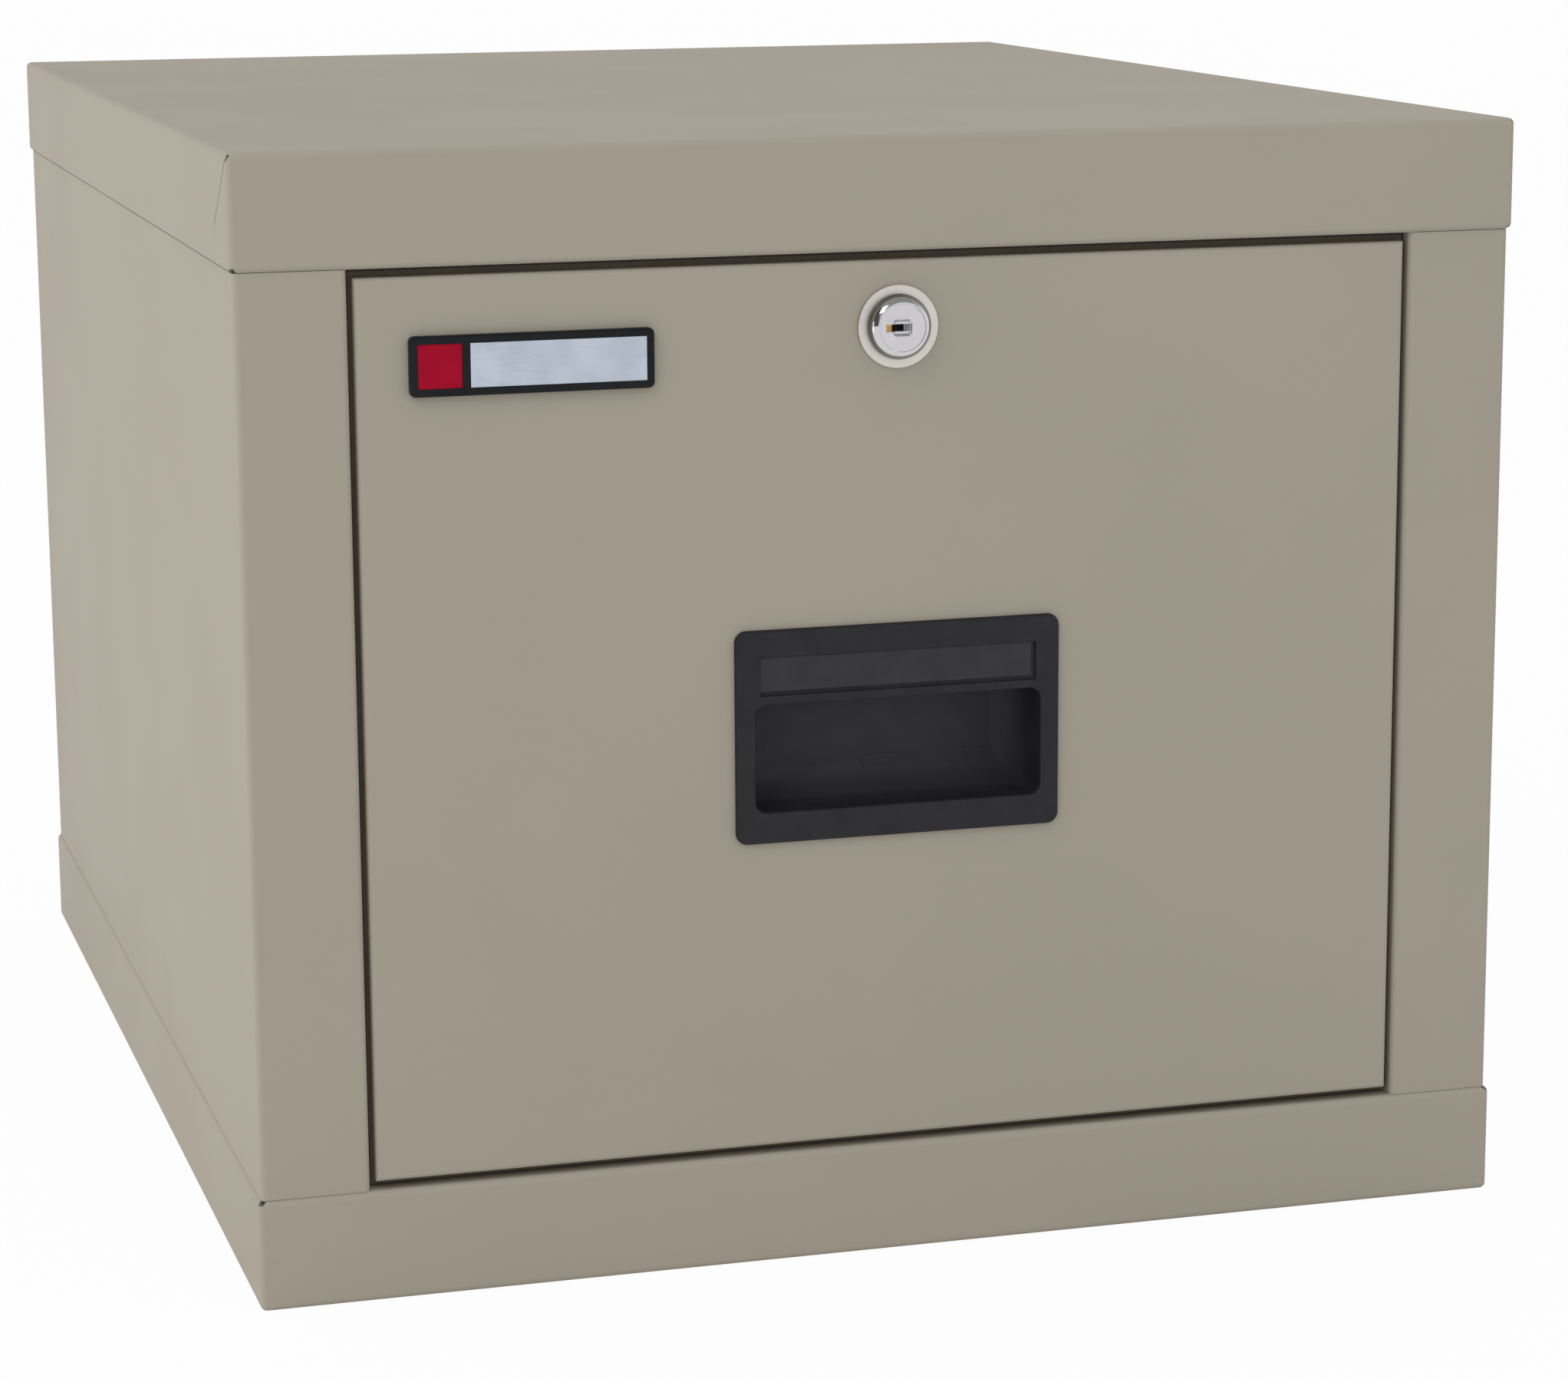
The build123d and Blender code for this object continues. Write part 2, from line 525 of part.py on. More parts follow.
for side, hand in ((-1, "left"), (1, "right")):
    with BuildPart() as slide_outer:
        with BuildSketch(facing_front(SLIDE_FRONT)):
            section_bar(side, 0, SLIDE_GAUGE, -SLIDE_HALF, SLIDE_HALF)
            section_pair(side, 0, RACE_END, OUTER_RACE, SLIDE_HALF)
            section_pair(side, RACE_END - SLIDE_GAUGE, RACE_END, OUTER_RACE - RACE_LIP, SLIDE_HALF)
        extrude(amount=-SLIDE_LENGTH)
        with Locations(*screw_places(LINER_HALF, CABINET_SCREW_PLACES)):
            Cylinder(SCREW_RADIUS + SCREW_FIT, 4 * SLIDE_GAUGE, mode=Mode.SUBTRACT)
    slide_outer.part.label = f"slide_outer_{hand}"
    export_step(slide_outer.part, f"parts/slide_outer_{hand}.step")

    with BuildPart() as slide_middle:
        with BuildSketch(facing_front(MIDDLE_FRONT)):
            section_bar(side, MIDDLE_OFFSET, MIDDLE_OFFSET + SLIDE_GAUGE, -MIDDLE_TOP, MIDDLE_TOP)
            section_pair(side, MIDDLE_OFFSET, RACE_END, MIDDLE_RACE, MIDDLE_TOP)
            section_pair(
                side,
                RACE_END - SLIDE_GAUGE,
                RACE_END,
                MIDDLE_RACE - RACE_LIP,
                MIDDLE_TOP + RACE_LIP,
            )
        extrude(amount=-MIDDLE_LENGTH)
    slide_middle.part.label = f"slide_middle_{hand}"
    export_step(slide_middle.part, f"parts/slide_middle_{hand}.step")

    with BuildPart() as slide_inner:
        with BuildSketch(facing_front(SLIDE_FRONT)):
            section_bar(side, SLIDE_THICKNESS - SLIDE_GAUGE, SLIDE_THICKNESS, -INNER_TOP, INNER_TOP)
            section_pair(side, INNER_OFFSET, SLIDE_THICKNESS, INNER_TOP - SLIDE_GAUGE, INNER_TOP)
        extrude(amount=-SLIDE_LENGTH)
        with Locations(*screw_places(DRAWER_WIDTH / 2, DRAWER_SCREW_PLACES)):
            Cylinder(SCREW_RADIUS + SCREW_FIT, 4 * SLIDE_GAUGE, mode=Mode.SUBTRACT)
    slide_inner.part.label = f"slide_inner_{hand}"
    export_step(slide_inner.part, f"parts/slide_inner_{hand}.step")

# Ball cages and balls, a pair of rows in each slide
CAGE_SETS = (
    ("outer", OUTER_CAGE_OFFSET, OUTER_BALLS, OUTER_CAGE_MIDDLE),
    ("inner", INNER_CAGE_OFFSET, INNER_BALLS, INNER_CAGE_MIDDLE),
)
for ring, near, level, middle in CAGE_SETS:
    with BuildPart() as ball_cages:
        with BuildSketch(facing_front(middle - CAGE_LENGTH / 2)):
            for side in (-1, 1):
                high = level + CAGE_SHEET / 2
                section_bar(side, near, near + CAGE_SHEET, -high, high)
                section_pair(side, near, CAGE_END, high - CAGE_SHEET, high)
        extrude(amount=-CAGE_LENGTH)
        for side in (-1, 1):
            with Locations(*ball_places(side, level, middle)):
                Cylinder(BALL / 2 + CAGE_GAP / 2, 2 * CAGE_SHEET, mode=Mode.SUBTRACT)
    ball_cages.part.label = f"{ring}_ball_cages"
    export_step(ball_cages.part, f"parts/{ring}_ball_cages.step")

    with BuildPart() as balls:
        for side in (-1, 1):
            with Locations(*ball_places(side, level, middle)):
                Sphere(BALL / 2)
    balls.part.label = f"{ring}_balls"
    export_step(balls.part, f"parts/{ring}_balls.step")


def slide_screws(offset, places, head_height, grip):
    """Adds the screws of both slides: heads towards the middle for a positive head height."""
    for side in (-1, 1):
        for place in places:
            seat = Plane(
                origin=(side * offset, place, SLIDE_CENTRE),
                z_dir=(-side * math.copysign(1, head_height), 0, 0),
            )
            with BuildSketch(seat) as head:
                Circle(SCREW_HEAD_RADIUS)
            extrude(head.sketch, amount=abs(head_height))
            with BuildSketch(seat) as shank:
                Circle(SCREW_RADIUS)
            extrude(shank.sketch, amount=-grip)


# Slide screws: wafer heads inside the outer members, pan heads inside the inner members
with BuildPart() as slide_cabinet_screws:
    slide_screws(
        LINER_HALF - SLIDE_GAUGE,
        CABINET_SCREW_PLACES,
        WAFER_HEAD,
        SLIDE_GAUGE + INNER_SHEET + SCREW_TAIL,
    )
slide_cabinet_screws.part.label = "slide_cabinet_screws"
export_step(slide_cabinet_screws.part, "parts/slide_cabinet_screws.step")

with BuildPart() as slide_drawer_screws:
    slide_screws(
        DRAWER_WIDTH / 2 + SLIDE_GAUGE,
        DRAWER_SCREW_PLACES,
        -PAN_HEAD,
        SLIDE_GAUGE + INNER_SHEET + SCREW_TAIL / 2,
    )
slide_drawer_screws.part.label = "slide_drawer_screws"
export_step(slide_drawer_screws.part, "parts/slide_drawer_screws.step")

# Drawer head: a folded front panel, a nested back plate and a cast filling between them
BODY_WIDTH = POCKET_WIDTH + 2 * PULL_WALL
BODY_LOW = POCKET_BOTTOM - PULL_WALL
BODY_HIGH = FINGER_TOP + PULL_WALL
BODY_CENTRE = (BODY_LOW + BODY_HIGH) / 2
BODY_CORNER = POCKET_CORNER
BODY_BACK = POCKET_BACK + PULL_WALL
LOCK_CASE_LOW = LOCK_CENTRE - CASE_BELOW
LOCK_CASE_HIGH = LOCK_CENTRE + CASE_ABOVE
LOCK_CASE_FRONT = LOCK_CASE_BACK - CASE_LENGTH
LOCK_CASE_CENTRE = (LOCK_CASE_LOW + LOCK_CASE_HIGH) / 2
FRONT_SCREW_X = DRAWER_WIDTH / 2 - INNER_SHEET - FRONT_SCREW_INSET
FRONT_SCREW_RISE = (TRAY_HEIGHT - 2 * FRONT_SCREW_MARGIN) / (TRAY_SCREW_ROWS - 1)
FRONT_SCREW_PLACES = [
    (side * FRONT_SCREW_X, TRAY_LOW + FRONT_SCREW_MARGIN + row * FRONT_SCREW_RISE)
    for side in (-1, 1)
    for row in range(TRAY_SCREW_ROWS)
] + [
    ((row - (TRAY_SCREW_ROWS - 1) / 2) * TRAY_SCREW_PITCH, TRAY_LOW + FRONT_SCREW_INSET)
    for row in range(TRAY_SCREW_ROWS)
]
TONGUE_SLOT_WIDTH = TONGUE_WIDTH + 2 * BOLT_FIT
TONGUE_SLOT_LENGTH = BOLT_THICKNESS + 2 * BOLT_FIT

with BuildPart() as drawer_front_panel:
    with BuildSketch(facing_front(FACE)):
        with Locations((0, HEAD_CENTRE)):
            Rectangle(HEAD_WIDTH, HEAD_HEIGHT)
    extrude(amount=-HEAD_DEPTH)
    fillet(drawer_front_panel.faces().sort_by(Axis.Y)[0].edges(), HEAD_BEND + SHEET)
    offset(amount=-SHEET, openings=drawer_front_panel.faces().sort_by(Axis.Y)[-1])
    with BuildSketch(facing_front(FACE)):
        with Locations((0, BODY_CENTRE)):
            RectangleRounded(
                BODY_WIDTH + 2 * PULL_FIT,
                BODY_HIGH - BODY_LOW + 2 * PULL_FIT,
                BODY_CORNER + PULL_FIT,
            )
        with Locations((0, LOCK_CENTRE)):
            Circle(BARREL_RADIUS + BARREL_FIT)
    extrude(amount=-SHEET, mode=Mode.SUBTRACT)
    with Locations((0, BOLT_MIDDLE, HEAD_HIGH)):
        Box(TONGUE_SLOT_WIDTH, TONGUE_SLOT_LENGTH, 4 * SHEET, mode=Mode.SUBTRACT)
drawer_front_panel.part.label = "drawer_front_panel"
export_step(drawer_front_panel.part, "parts/drawer_front_panel.step")

PLATE_INSET = 2 * (SHEET + WELD_GAP)
with BuildPart() as head_back_plate:
    with BuildSketch(facing_front(HEAD_BACK)):
        with Locations((0, HEAD_CENTRE)):
            RectangleRounded(HEAD_WIDTH - PLATE_INSET, HEAD_HEIGHT - PLATE_INSET, 2 * INNER_SHEET)
    extrude(amount=BACK_FLANGE)
    offset(amount=-INNER_SHEET, openings=head_back_plate.faces().sort_by(Axis.Y)[0])
    with Locations((0, BOLT_MIDDLE, HEAD_HIGH)):
        Box(TONGUE_SLOT_WIDTH, TONGUE_SLOT_LENGTH, 4 * SHEET, mode=Mode.SUBTRACT)
    with BuildSketch(facing_front(HEAD_BACK)):
        with Locations(*FRONT_SCREW_PLACES):
            Circle(SCREW_RADIUS + SCREW_FIT)
    extrude(amount=INNER_SHEET, mode=Mode.SUBTRACT)
head_back_plate.part.label = "head_back_plate"
export_step(head_back_plate.part, "parts/head_back_plate.step")

CORE_INSET = 2 * (SHEET + INNER_SHEET + WELD_GAP + CAST_GAP)
CORE_FRONT = FACE + SHEET + CAST_GAP
CORE_BACK = HEAD_BACK - INNER_SHEET - CAST_GAP
POCKET_VOID = SNAP_CATCH + 2 * CAST_GAP
with BuildPart() as head_insulation:
    with BuildSketch(facing_front(CORE_FRONT)):
        with Locations((0, HEAD_CENTRE)):
            Rectangle(HEAD_WIDTH - CORE_INSET, HEAD_HEIGHT - CORE_INSET)
    extrude(amount=CORE_FRONT - CORE_BACK)
    with BuildSketch(facing_front(CORE_FRONT)):
        with Locations((0, BODY_CENTRE)):
            Rectangle(BODY_WIDTH + 2 * POCKET_VOID, BODY_HIGH - BODY_LOW + 2 * POCKET_VOID)
    extrude(amount=CORE_FRONT - BODY_BACK - CAST_GAP, mode=Mode.SUBTRACT)
    with BuildSketch(facing_front(CORE_FRONT)):
        with Locations((0, LOCK_CENTRE)):
            Circle(NUT_FLATS / 2 / math.cos(math.radians(30)) + CAST_GAP)
    extrude(amount=CORE_FRONT - LOCK_CASE_BACK, mode=Mode.SUBTRACT)
    with BuildSketch(facing_front(LOCK_CASE_FRONT - CAST_GAP)):
        with Locations((0, (LOCK_CASE_LOW - CAST_GAP + HEAD_HIGH) / 2)):
            Rectangle(
                2 * (CASE_HALF_WIDTH + CAST_GAP),
                HEAD_HIGH - LOCK_CASE_LOW + CAST_GAP,
            )
    extrude(amount=LOCK_CASE_FRONT - CAST_GAP - HEAD_BACK, mode=Mode.SUBTRACT)
    with BuildSketch(facing_front(HEAD_BACK)):
        with Locations(*FRONT_SCREW_PLACES):
            Circle(SCREW_RADIUS + CAST_GAP)
    extrude(amount=INNER_SHEET + SCREW_TAIL + CAST_GAP, mode=Mode.SUBTRACT)
head_insulation.part.label = "head_insulation"
export_step(head_insulation.part, "parts/head_insulation.step")

# Heat seal: a fibre ring on the back of the head that meets the flange of the liner
with BuildPart() as heat_seal:
    with BuildSketch(facing_front(HEAD_BACK)):
        with Locations((0, HEAD_CENTRE)):
            RectangleRounded(
                HEAD_WIDTH - 2 * SEAL_INSET,
                HEAD_HEIGHT - 2 * SEAL_INSET,
                SEAL_WIDTH / 2,
            )
            Rectangle(
                HEAD_WIDTH - 2 * (SEAL_INSET + SEAL_WIDTH),
                HEAD_HEIGHT - 2 * (SEAL_INSET + SEAL_WIDTH),
                mode=Mode.SUBTRACT,
            )
    extrude(amount=-SEAL_THICKNESS)
heat_seal.part.label = "heat_seal"
export_step(heat_seal.part, "parts/heat_seal.step")

# Recessed pull: a moulded rim with a pocket, an undercut for the fingers and a label recess
PULL_FRONT = FACE - PULL_PROUD
POCKET_CENTRE = POCKET_BOTTOM + POCKET_HEIGHT / 2
FINGER_HEIGHT = POCKET_HEIGHT / 2 + FINGER_RISE
SNAP_FRONT = FACE + SHEET + PULL_FIT


def cove(corner, x_dir, z_dir, run):
    """Adds a hollow round along an edge inside the pocket, with both walls on its plane's axes."""
    with BuildSketch(Plane(origin=corner, x_dir=x_dir, z_dir=z_dir)) as section:
        Rectangle(POCKET_COVE, POCKET_COVE, align=(Align.MIN, Align.MIN))
        with Locations((POCKET_COVE, POCKET_COVE)):
            Circle(POCKET_COVE, mode=Mode.SUBTRACT)
    extrude(section.sketch, amount=run)


with BuildPart() as pull_housing:
    with BuildSketch(facing_front(FACE)):
        with Locations((0, PULL_CENTRE)):
            RectangleRounded(PULL_WIDTH, PULL_HEIGHT, PULL_CORNER)
    extrude(amount=PULL_PROUD)
    fillet(pull_housing.faces().sort_by(Axis.Y)[0].edges(), PULL_EDGE)
    with BuildSketch(facing_front(FACE)):
        with Locations((0, BODY_CENTRE)):
            RectangleRounded(BODY_WIDTH, BODY_HIGH - BODY_LOW, BODY_CORNER)
    extrude(amount=FACE - BODY_BACK)
    with BuildSketch(facing_front(PULL_FRONT)):
        with Locations((0, POCKET_CENTRE)):
            RectangleRounded(POCKET_WIDTH, POCKET_HEIGHT, POCKET_CORNER)
    extrude(amount=-(POCKET_DEPTH + PULL_PROUD), mode=Mode.SUBTRACT)
    with BuildSketch(facing_front(PULL_FRONT + FINGER_WALL)):
        with Locations((0, FINGER_TOP - FINGER_HEIGHT / 2)):
            RectangleRounded(POCKET_WIDTH, FINGER_HEIGHT, POCKET_CORNER)
    extrude(amount=-(POCKET_DEPTH + PULL_PROUD - FINGER_WALL), mode=Mode.SUBTRACT)
    with BuildSketch(facing_front(PULL_FRONT)):
        with Locations((0, LABEL_CENTRE)):
            Rectangle(LABEL_WIDTH, LABEL_HEIGHT)
    extrude(amount=-LABEL_RECESS, mode=Mode.SUBTRACT)
    mouth = pull_housing.faces().sort_by(Axis.Y)[0].inner_wires().sort_by(Axis.Z)[0]
    fillet(mouth.edges(), PULL_EDGE / 2)
    with BuildSketch(facing_front(SNAP_FRONT)):
        with Locations((0, BODY_CENTRE)):
            with GridLocations(SNAP_SPACING, BODY_HIGH - BODY_LOW, 2, 2):
                Rectangle(SNAP_WIDTH, 2 * SNAP_CATCH)
    extrude(amount=-SNAP_LENGTH)
    cove((POCKET_WIDTH / 2, POCKET_BACK, POCKET_BOTTOM), (0, -1, 0), (-1, 0, 0), POCKET_WIDTH)
    for side, x_dir in ((-1, (1, 0, 0)), (1, (0, -1, 0))):
        wall_top = (side * POCKET_WIDTH / 2, POCKET_BACK, FINGER_TOP)
        cove(wall_top, x_dir, (0, 0, -1), FINGER_TOP - POCKET_BOTTOM)
    with BuildSketch(facing_front(POCKET_BACK)):
        for pad_x, pad_width in ((PAD_MIDDLE, PAD_WIDTH), (PAD_RIGHT, PAD_WIDTH - PULL_WALL)):
            with Locations((pad_x, POCKET_BOTTOM + PAD_RISE + PAD_HEIGHT / 2)):
                Rectangle(pad_width, PAD_HEIGHT)
    extrude(amount=PAD_THICKNESS)
pull_housing.part.label = "pull_housing"
export_step(pull_housing.part, "parts/pull_housing.step")

with BuildPart() as label_plate:
    with BuildSketch(facing_front(PULL_FRONT + LABEL_RECESS)):
        with Locations(((LABEL_FIT - LABEL_GROOVE) / 2, LABEL_CENTRE + (LABEL_GROOVE - LABEL_FIT) / 2)):
            Rectangle(LABEL_WIDTH - LABEL_FIT - LABEL_GROOVE, LABEL_HEIGHT - LABEL_FIT - LABEL_GROOVE)
    extrude(amount=LABEL_THICKNESS)
label_plate.part.label = "label_plate"
export_step(label_plate.part, "parts/label_plate.step")

# Nameplate, blank: a moulded base with a plain field and a plain accent
FIELD_WIDTH = PLATE_WIDTH - 3 * PLATE_BORDER - ACCENT_WIDTH
FIELD_CENTRE = PLATE_CENTRE_X + PLATE_WIDTH / 2 - PLATE_BORDER - FIELD_WIDTH / 2
ACCENT_CENTRE = PLATE_CENTRE_X - PLATE_WIDTH / 2 + PLATE_BORDER + ACCENT_WIDTH / 2
INLAY_HEIGHT = PLATE_HEIGHT - 2 * PLATE_BORDER
PLATE_FACE = FACE - PLATE_THICKNESS
INLAYS = (
    ("nameplate_field", FIELD_CENTRE, FIELD_WIDTH),
    ("nameplate_accent", ACCENT_CENTRE, ACCENT_WIDTH),
)
with BuildPart() as nameplate_base:
    with BuildSketch(facing_front(FACE)):
        with Locations((PLATE_CENTRE_X, PLATE_CENTRE_Z)):
            RectangleRounded(PLATE_WIDTH, PLATE_HEIGHT, PLATE_CORNER)
    extrude(amount=PLATE_THICKNESS)
    fillet(nameplate_base.faces().sort_by(Axis.Y)[0].edges(), PLATE_CORNER / 2)
    with BuildSketch(facing_front(PLATE_FACE)):
        for name, centre, width in INLAYS:
            with Locations((centre, PLATE_CENTRE_Z)):
                Rectangle(width, INLAY_HEIGHT)
    extrude(amount=-INLAY_DEPTH, mode=Mode.SUBTRACT)
nameplate_base.part.label = "nameplate_base"
export_step(nameplate_base.part, "parts/nameplate_base.step")

for name, centre, width in INLAYS:
    with BuildPart() as inlay:
        with BuildSketch(facing_front(PLATE_FACE + INLAY_DEPTH)):
            with Locations((centre, PLATE_CENTRE_Z)):
                Rectangle(width - 2 * WELD_GAP, INLAY_HEIGHT - 2 * WELD_GAP)
        extrude(amount=INLAY_DEPTH / 2)
    inlay.part.label = name
    export_step(inlay.part, f"parts/{name}.step")

# Drawer tray: a floor between two side sheets whose hems carry hanging files
TRAY_HALF = DRAWER_WIDTH / 2
TRAY_INSIDE = TRAY_HALF - INNER_SHEET
with BuildPart() as tray_floor:
    with BuildSketch(facing_front(HEAD_BACK)):
        with Locations((0, TRAY_LOW + INNER_SHEET / 2)):
            Rectangle(2 * TRAY_INSIDE, INNER_SHEET)
    extrude(amount=-TRAY_LENGTH)
tray_floor.part.label = "tray_floor"
export_step(tray_floor.part, "parts/tray_floor.step")

for name, side in (("tray_side_left", -1), ("tray_side_right", 1)):
    with BuildPart() as tray_side:
        with BuildSketch(facing_front(HEAD_BACK)):
            with Locations((side * (TRAY_HALF - INNER_SHEET / 2), (TRAY_LOW + TRAY_HIGH) / 2)):
                Rectangle(INNER_SHEET, TRAY_HEIGHT)
            with Locations((side * (TRAY_INSIDE - INNER_SHEET / 2), TRAY_HIGH - HEM / 2)):
                Rectangle(INNER_SHEET, HEM)
        extrude(amount=-TRAY_LENGTH)
        rims = tray_side.edges().filter_by(Axis.Y).group_by(Axis.Z)[-1]
        fillet(rims, 0.45 * INNER_SHEET)
        with Locations(*screw_places(TRAY_HALF, DRAWER_SCREW_PLACES)):
            Cylinder(SCREW_RADIUS + SCREW_FIT, 4 * INNER_SHEET, mode=Mode.SUBTRACT)
    tray_side.part.label = name
    export_step(tray_side.part, f"parts/{name}.step")


# End walls of the drawer: plates with side flanges welded to the tray and a hem along the top
def end_wall(outside, inward, high):
    """Adds a wall with its outer face at a depth, built inwards along +Y or -Y."""
    low = TRAY_LOW + INNER_SHEET
    with BuildSketch(facing_front(outside)) as plate:
        with Locations((0, (low + high) / 2)):
            Rectangle(2 * TRAY_INSIDE, high - low)
    extrude(plate.sketch, amount=-inward * INNER_SHEET)
    with BuildSketch(facing_front(outside)) as flanges:
        for side in (-1, 1):
            with Locations((side * (TRAY_INSIDE - INNER_SHEET / 2), (low + high) / 2)):
                Rectangle(INNER_SHEET, high - low)
    extrude(flanges.sketch, amount=-inward * TRAY_FLANGE)
    with BuildSketch(facing_front(outside + inward * INNER_SHEET)) as hem:
        with Locations((0, high - HEM / 2)):
            Rectangle(2 * TRAY_INSIDE, HEM)
    extrude(hem.sketch, amount=-inward * INNER_SHEET)


with BuildPart() as tray_front:
    end_wall(HEAD_BACK, 1, TRAY_HIGH - HEM - HEM_CLEARANCE)
    with BuildSketch(facing_front(HEAD_BACK)):
        with Locations(*FRONT_SCREW_PLACES):
            Circle(SCREW_RADIUS + SCREW_FIT)
    extrude(amount=-INNER_SHEET, mode=Mode.SUBTRACT)
tray_front.part.label = "tray_front"
export_step(tray_front.part, "parts/tray_front.step")

with BuildPart() as drawer_back:
    end_wall(TRAY_BACK, -1, TRAY_HIGH - BACK_DROP)
drawer_back.part.label = "drawer_back"
export_step(drawer_back.part, "parts/drawer_back.step")

with BuildPart() as tray_screws:
    with BuildSketch(facing_front(HEAD_BACK + INNER_SHEET)):
        with Locations(*FRONT_SCREW_PLACES):
            Circle(SCREW_HEAD_RADIUS)
    extrude(amount=-PAN_HEAD)
    with BuildSketch(facing_front(HEAD_BACK + INNER_SHEET)):
        with Locations(*FRONT_SCREW_PLACES):
            Circle(SCREW_RADIUS)
    extrude(amount=2 * INNER_SHEET + SCREW_TAIL)
tray_screws.part.label = "tray_screws"
export_step(tray_screws.part, "parts/tray_screws.step")

# Lock: rose, housing with a domed bezel, nut, case, bolt, and the turning plug with its cam
ROSE_FRONT = FACE - ROSE_THICKNESS
CROWN = ROSE_FRONT - BEZEL_HEIGHT
PLUG_FACE = CROWN + FACE_RECESS
PLUG_SHOULDER = PLUG_FACE + FACE_THICKNESS
CAM_FRONT = BARREL_END + CAM_GAP
TAIL_END = CAM_BACK - CAM_SCREW_SINK

with BuildPart() as lock_rose:
    with BuildSketch(lying_at(0, FACE, LOCK_CENTRE)):
        Circle(ROSE_RADIUS)
        Circle(BARREL_RADIUS + BARREL_FIT, mode=Mode.SUBTRACT)
    extrude(amount=ROSE_THICKNESS)
    outer_edge = lock_rose.faces().sort_by(Axis.Y)[0].outer_wire().edges()
    fillet(outer_edge, ROSE_THICKNESS / 4)
lock_rose.part.label = "lock_rose"
export_step(lock_rose.part, "parts/lock_rose.step")

with BuildPart() as lock_housing:
    with BuildSketch(Plane.XY.offset(LOCK_CENTRE)):
        with BuildLine():
            dome = TangentArc(
                (BEZEL_RADIUS, ROSE_FRONT - BEZEL_STEP),
                (CROWN_RADIUS, CROWN),
                tangent=(0, -1),
            )
            Polyline(
                dome @ 1,
                (FACE_RADIUS + FACE_GAP, CROWN),
                (FACE_RADIUS + FACE_GAP, PLUG_SHOULDER + FACE_GAP),
                (PLUG_RADIUS + PLUG_GAP, PLUG_SHOULDER + FACE_GAP),
                (PLUG_RADIUS + PLUG_GAP, BARREL_END),
                (BARREL_RADIUS, BARREL_END),
                (BARREL_RADIUS, ROSE_FRONT),
                (BEZEL_RADIUS, ROSE_FRONT),
                dome @ 0,
            )
        make_face()
    revolve(axis=Axis((0, 0, LOCK_CENTRE), (0, 1, 0)))
lock_housing.part.label = "lock_housing"
export_step(lock_housing.part, "parts/lock_housing.step")

with BuildPart() as lock_nut:
    with BuildSketch(lying_at(0, FACE + SHEET, LOCK_CENTRE)):
        RegularPolygon(NUT_FLATS / 2, 6, major_radius=False)
        Circle(BARREL_RADIUS + SCREW_FIT, mode=Mode.SUBTRACT)
    extrude(amount=-NUT_THICKNESS)
lock_nut.part.label = "lock_nut"
export_step(lock_nut.part, "parts/lock_nut.step")

with BuildPart() as lock_case:
    with BuildSketch(facing_front(LOCK_CASE_BACK)):
        with Locations((0, LOCK_CASE_CENTRE)):
            Rectangle(2 * CASE_HALF_WIDTH, LOCK_CASE_HIGH - LOCK_CASE_LOW)
    extrude(amount=CASE_LENGTH)
    offset(amount=-INNER_SHEET, mode=Mode.SUBTRACT)
    with BuildSketch(facing_front(LOCK_CASE_BACK - INNER_SHEET)):
        for side in (-1, 1):
            with Locations(
                (side * (BOLT_WIDTH / 2 + BOLT_FIT + INNER_SHEET / 2), LOCK_CASE_CENTRE)
            ):
                Rectangle(INNER_SHEET, LOCK_CASE_HIGH - LOCK_CASE_LOW - 2 * INNER_SHEET)
    extrude(amount=GUIDE_DEPTH)
    with BuildSketch(lying_at(0, LOCK_CASE_FRONT, LOCK_CENTRE)):
        Circle(BARREL_RADIUS + BARREL_FIT)
    extrude(amount=-INNER_SHEET, mode=Mode.SUBTRACT)
    with Locations((0, BOLT_MIDDLE, LOCK_CASE_HIGH)):
        Box(TONGUE_SLOT_WIDTH, TONGUE_SLOT_LENGTH, 2 * INNER_SHEET, mode=Mode.SUBTRACT)
lock_case.part.label = "lock_case"
export_step(lock_case.part, "parts/lock_case.step")

PIN_SLOT_LEFT = PIN_REST_X - CRANK_PIN - PIN_CLEARANCE
PIN_SLOT_RIGHT = CRANK + CRANK_PIN + PIN_CLEARANCE
with BuildPart() as lock_bolt:
    with BuildSketch(facing_front(BOLT_FRONT)):
        with Locations((0, BOLT_LOW + BOLT_SHOULDER / 2)):
            Rectangle(BOLT_WIDTH, BOLT_SHOULDER)
        with Locations((0, (BOLT_LOW + BOLT_HIGH) / 2)):
            Rectangle(TONGUE_WIDTH, BOLT_HIGH - BOLT_LOW)
    extrude(amount=-BOLT_THICKNESS)
    tip = lock_bolt.faces().sort_by(Axis.Z)[-1]
    chamfer(tip.edges(), BOLT_THICKNESS / 8)
    with BuildSketch(facing_front(BOLT_FRONT)):
        with Locations(((PIN_SLOT_LEFT + PIN_SLOT_RIGHT) / 2, PIN_REST_Z)):
            Rectangle(PIN_SLOT_RIGHT - PIN_SLOT_LEFT, 2 * (CRANK_PIN + PIN_CLEARANCE))
    extrude(amount=-CRANK_PIN_LENGTH, mode=Mode.SUBTRACT)
lock_bolt.part.label = "lock_bolt"
export_step(lock_bolt.part, "parts/lock_bolt.step")

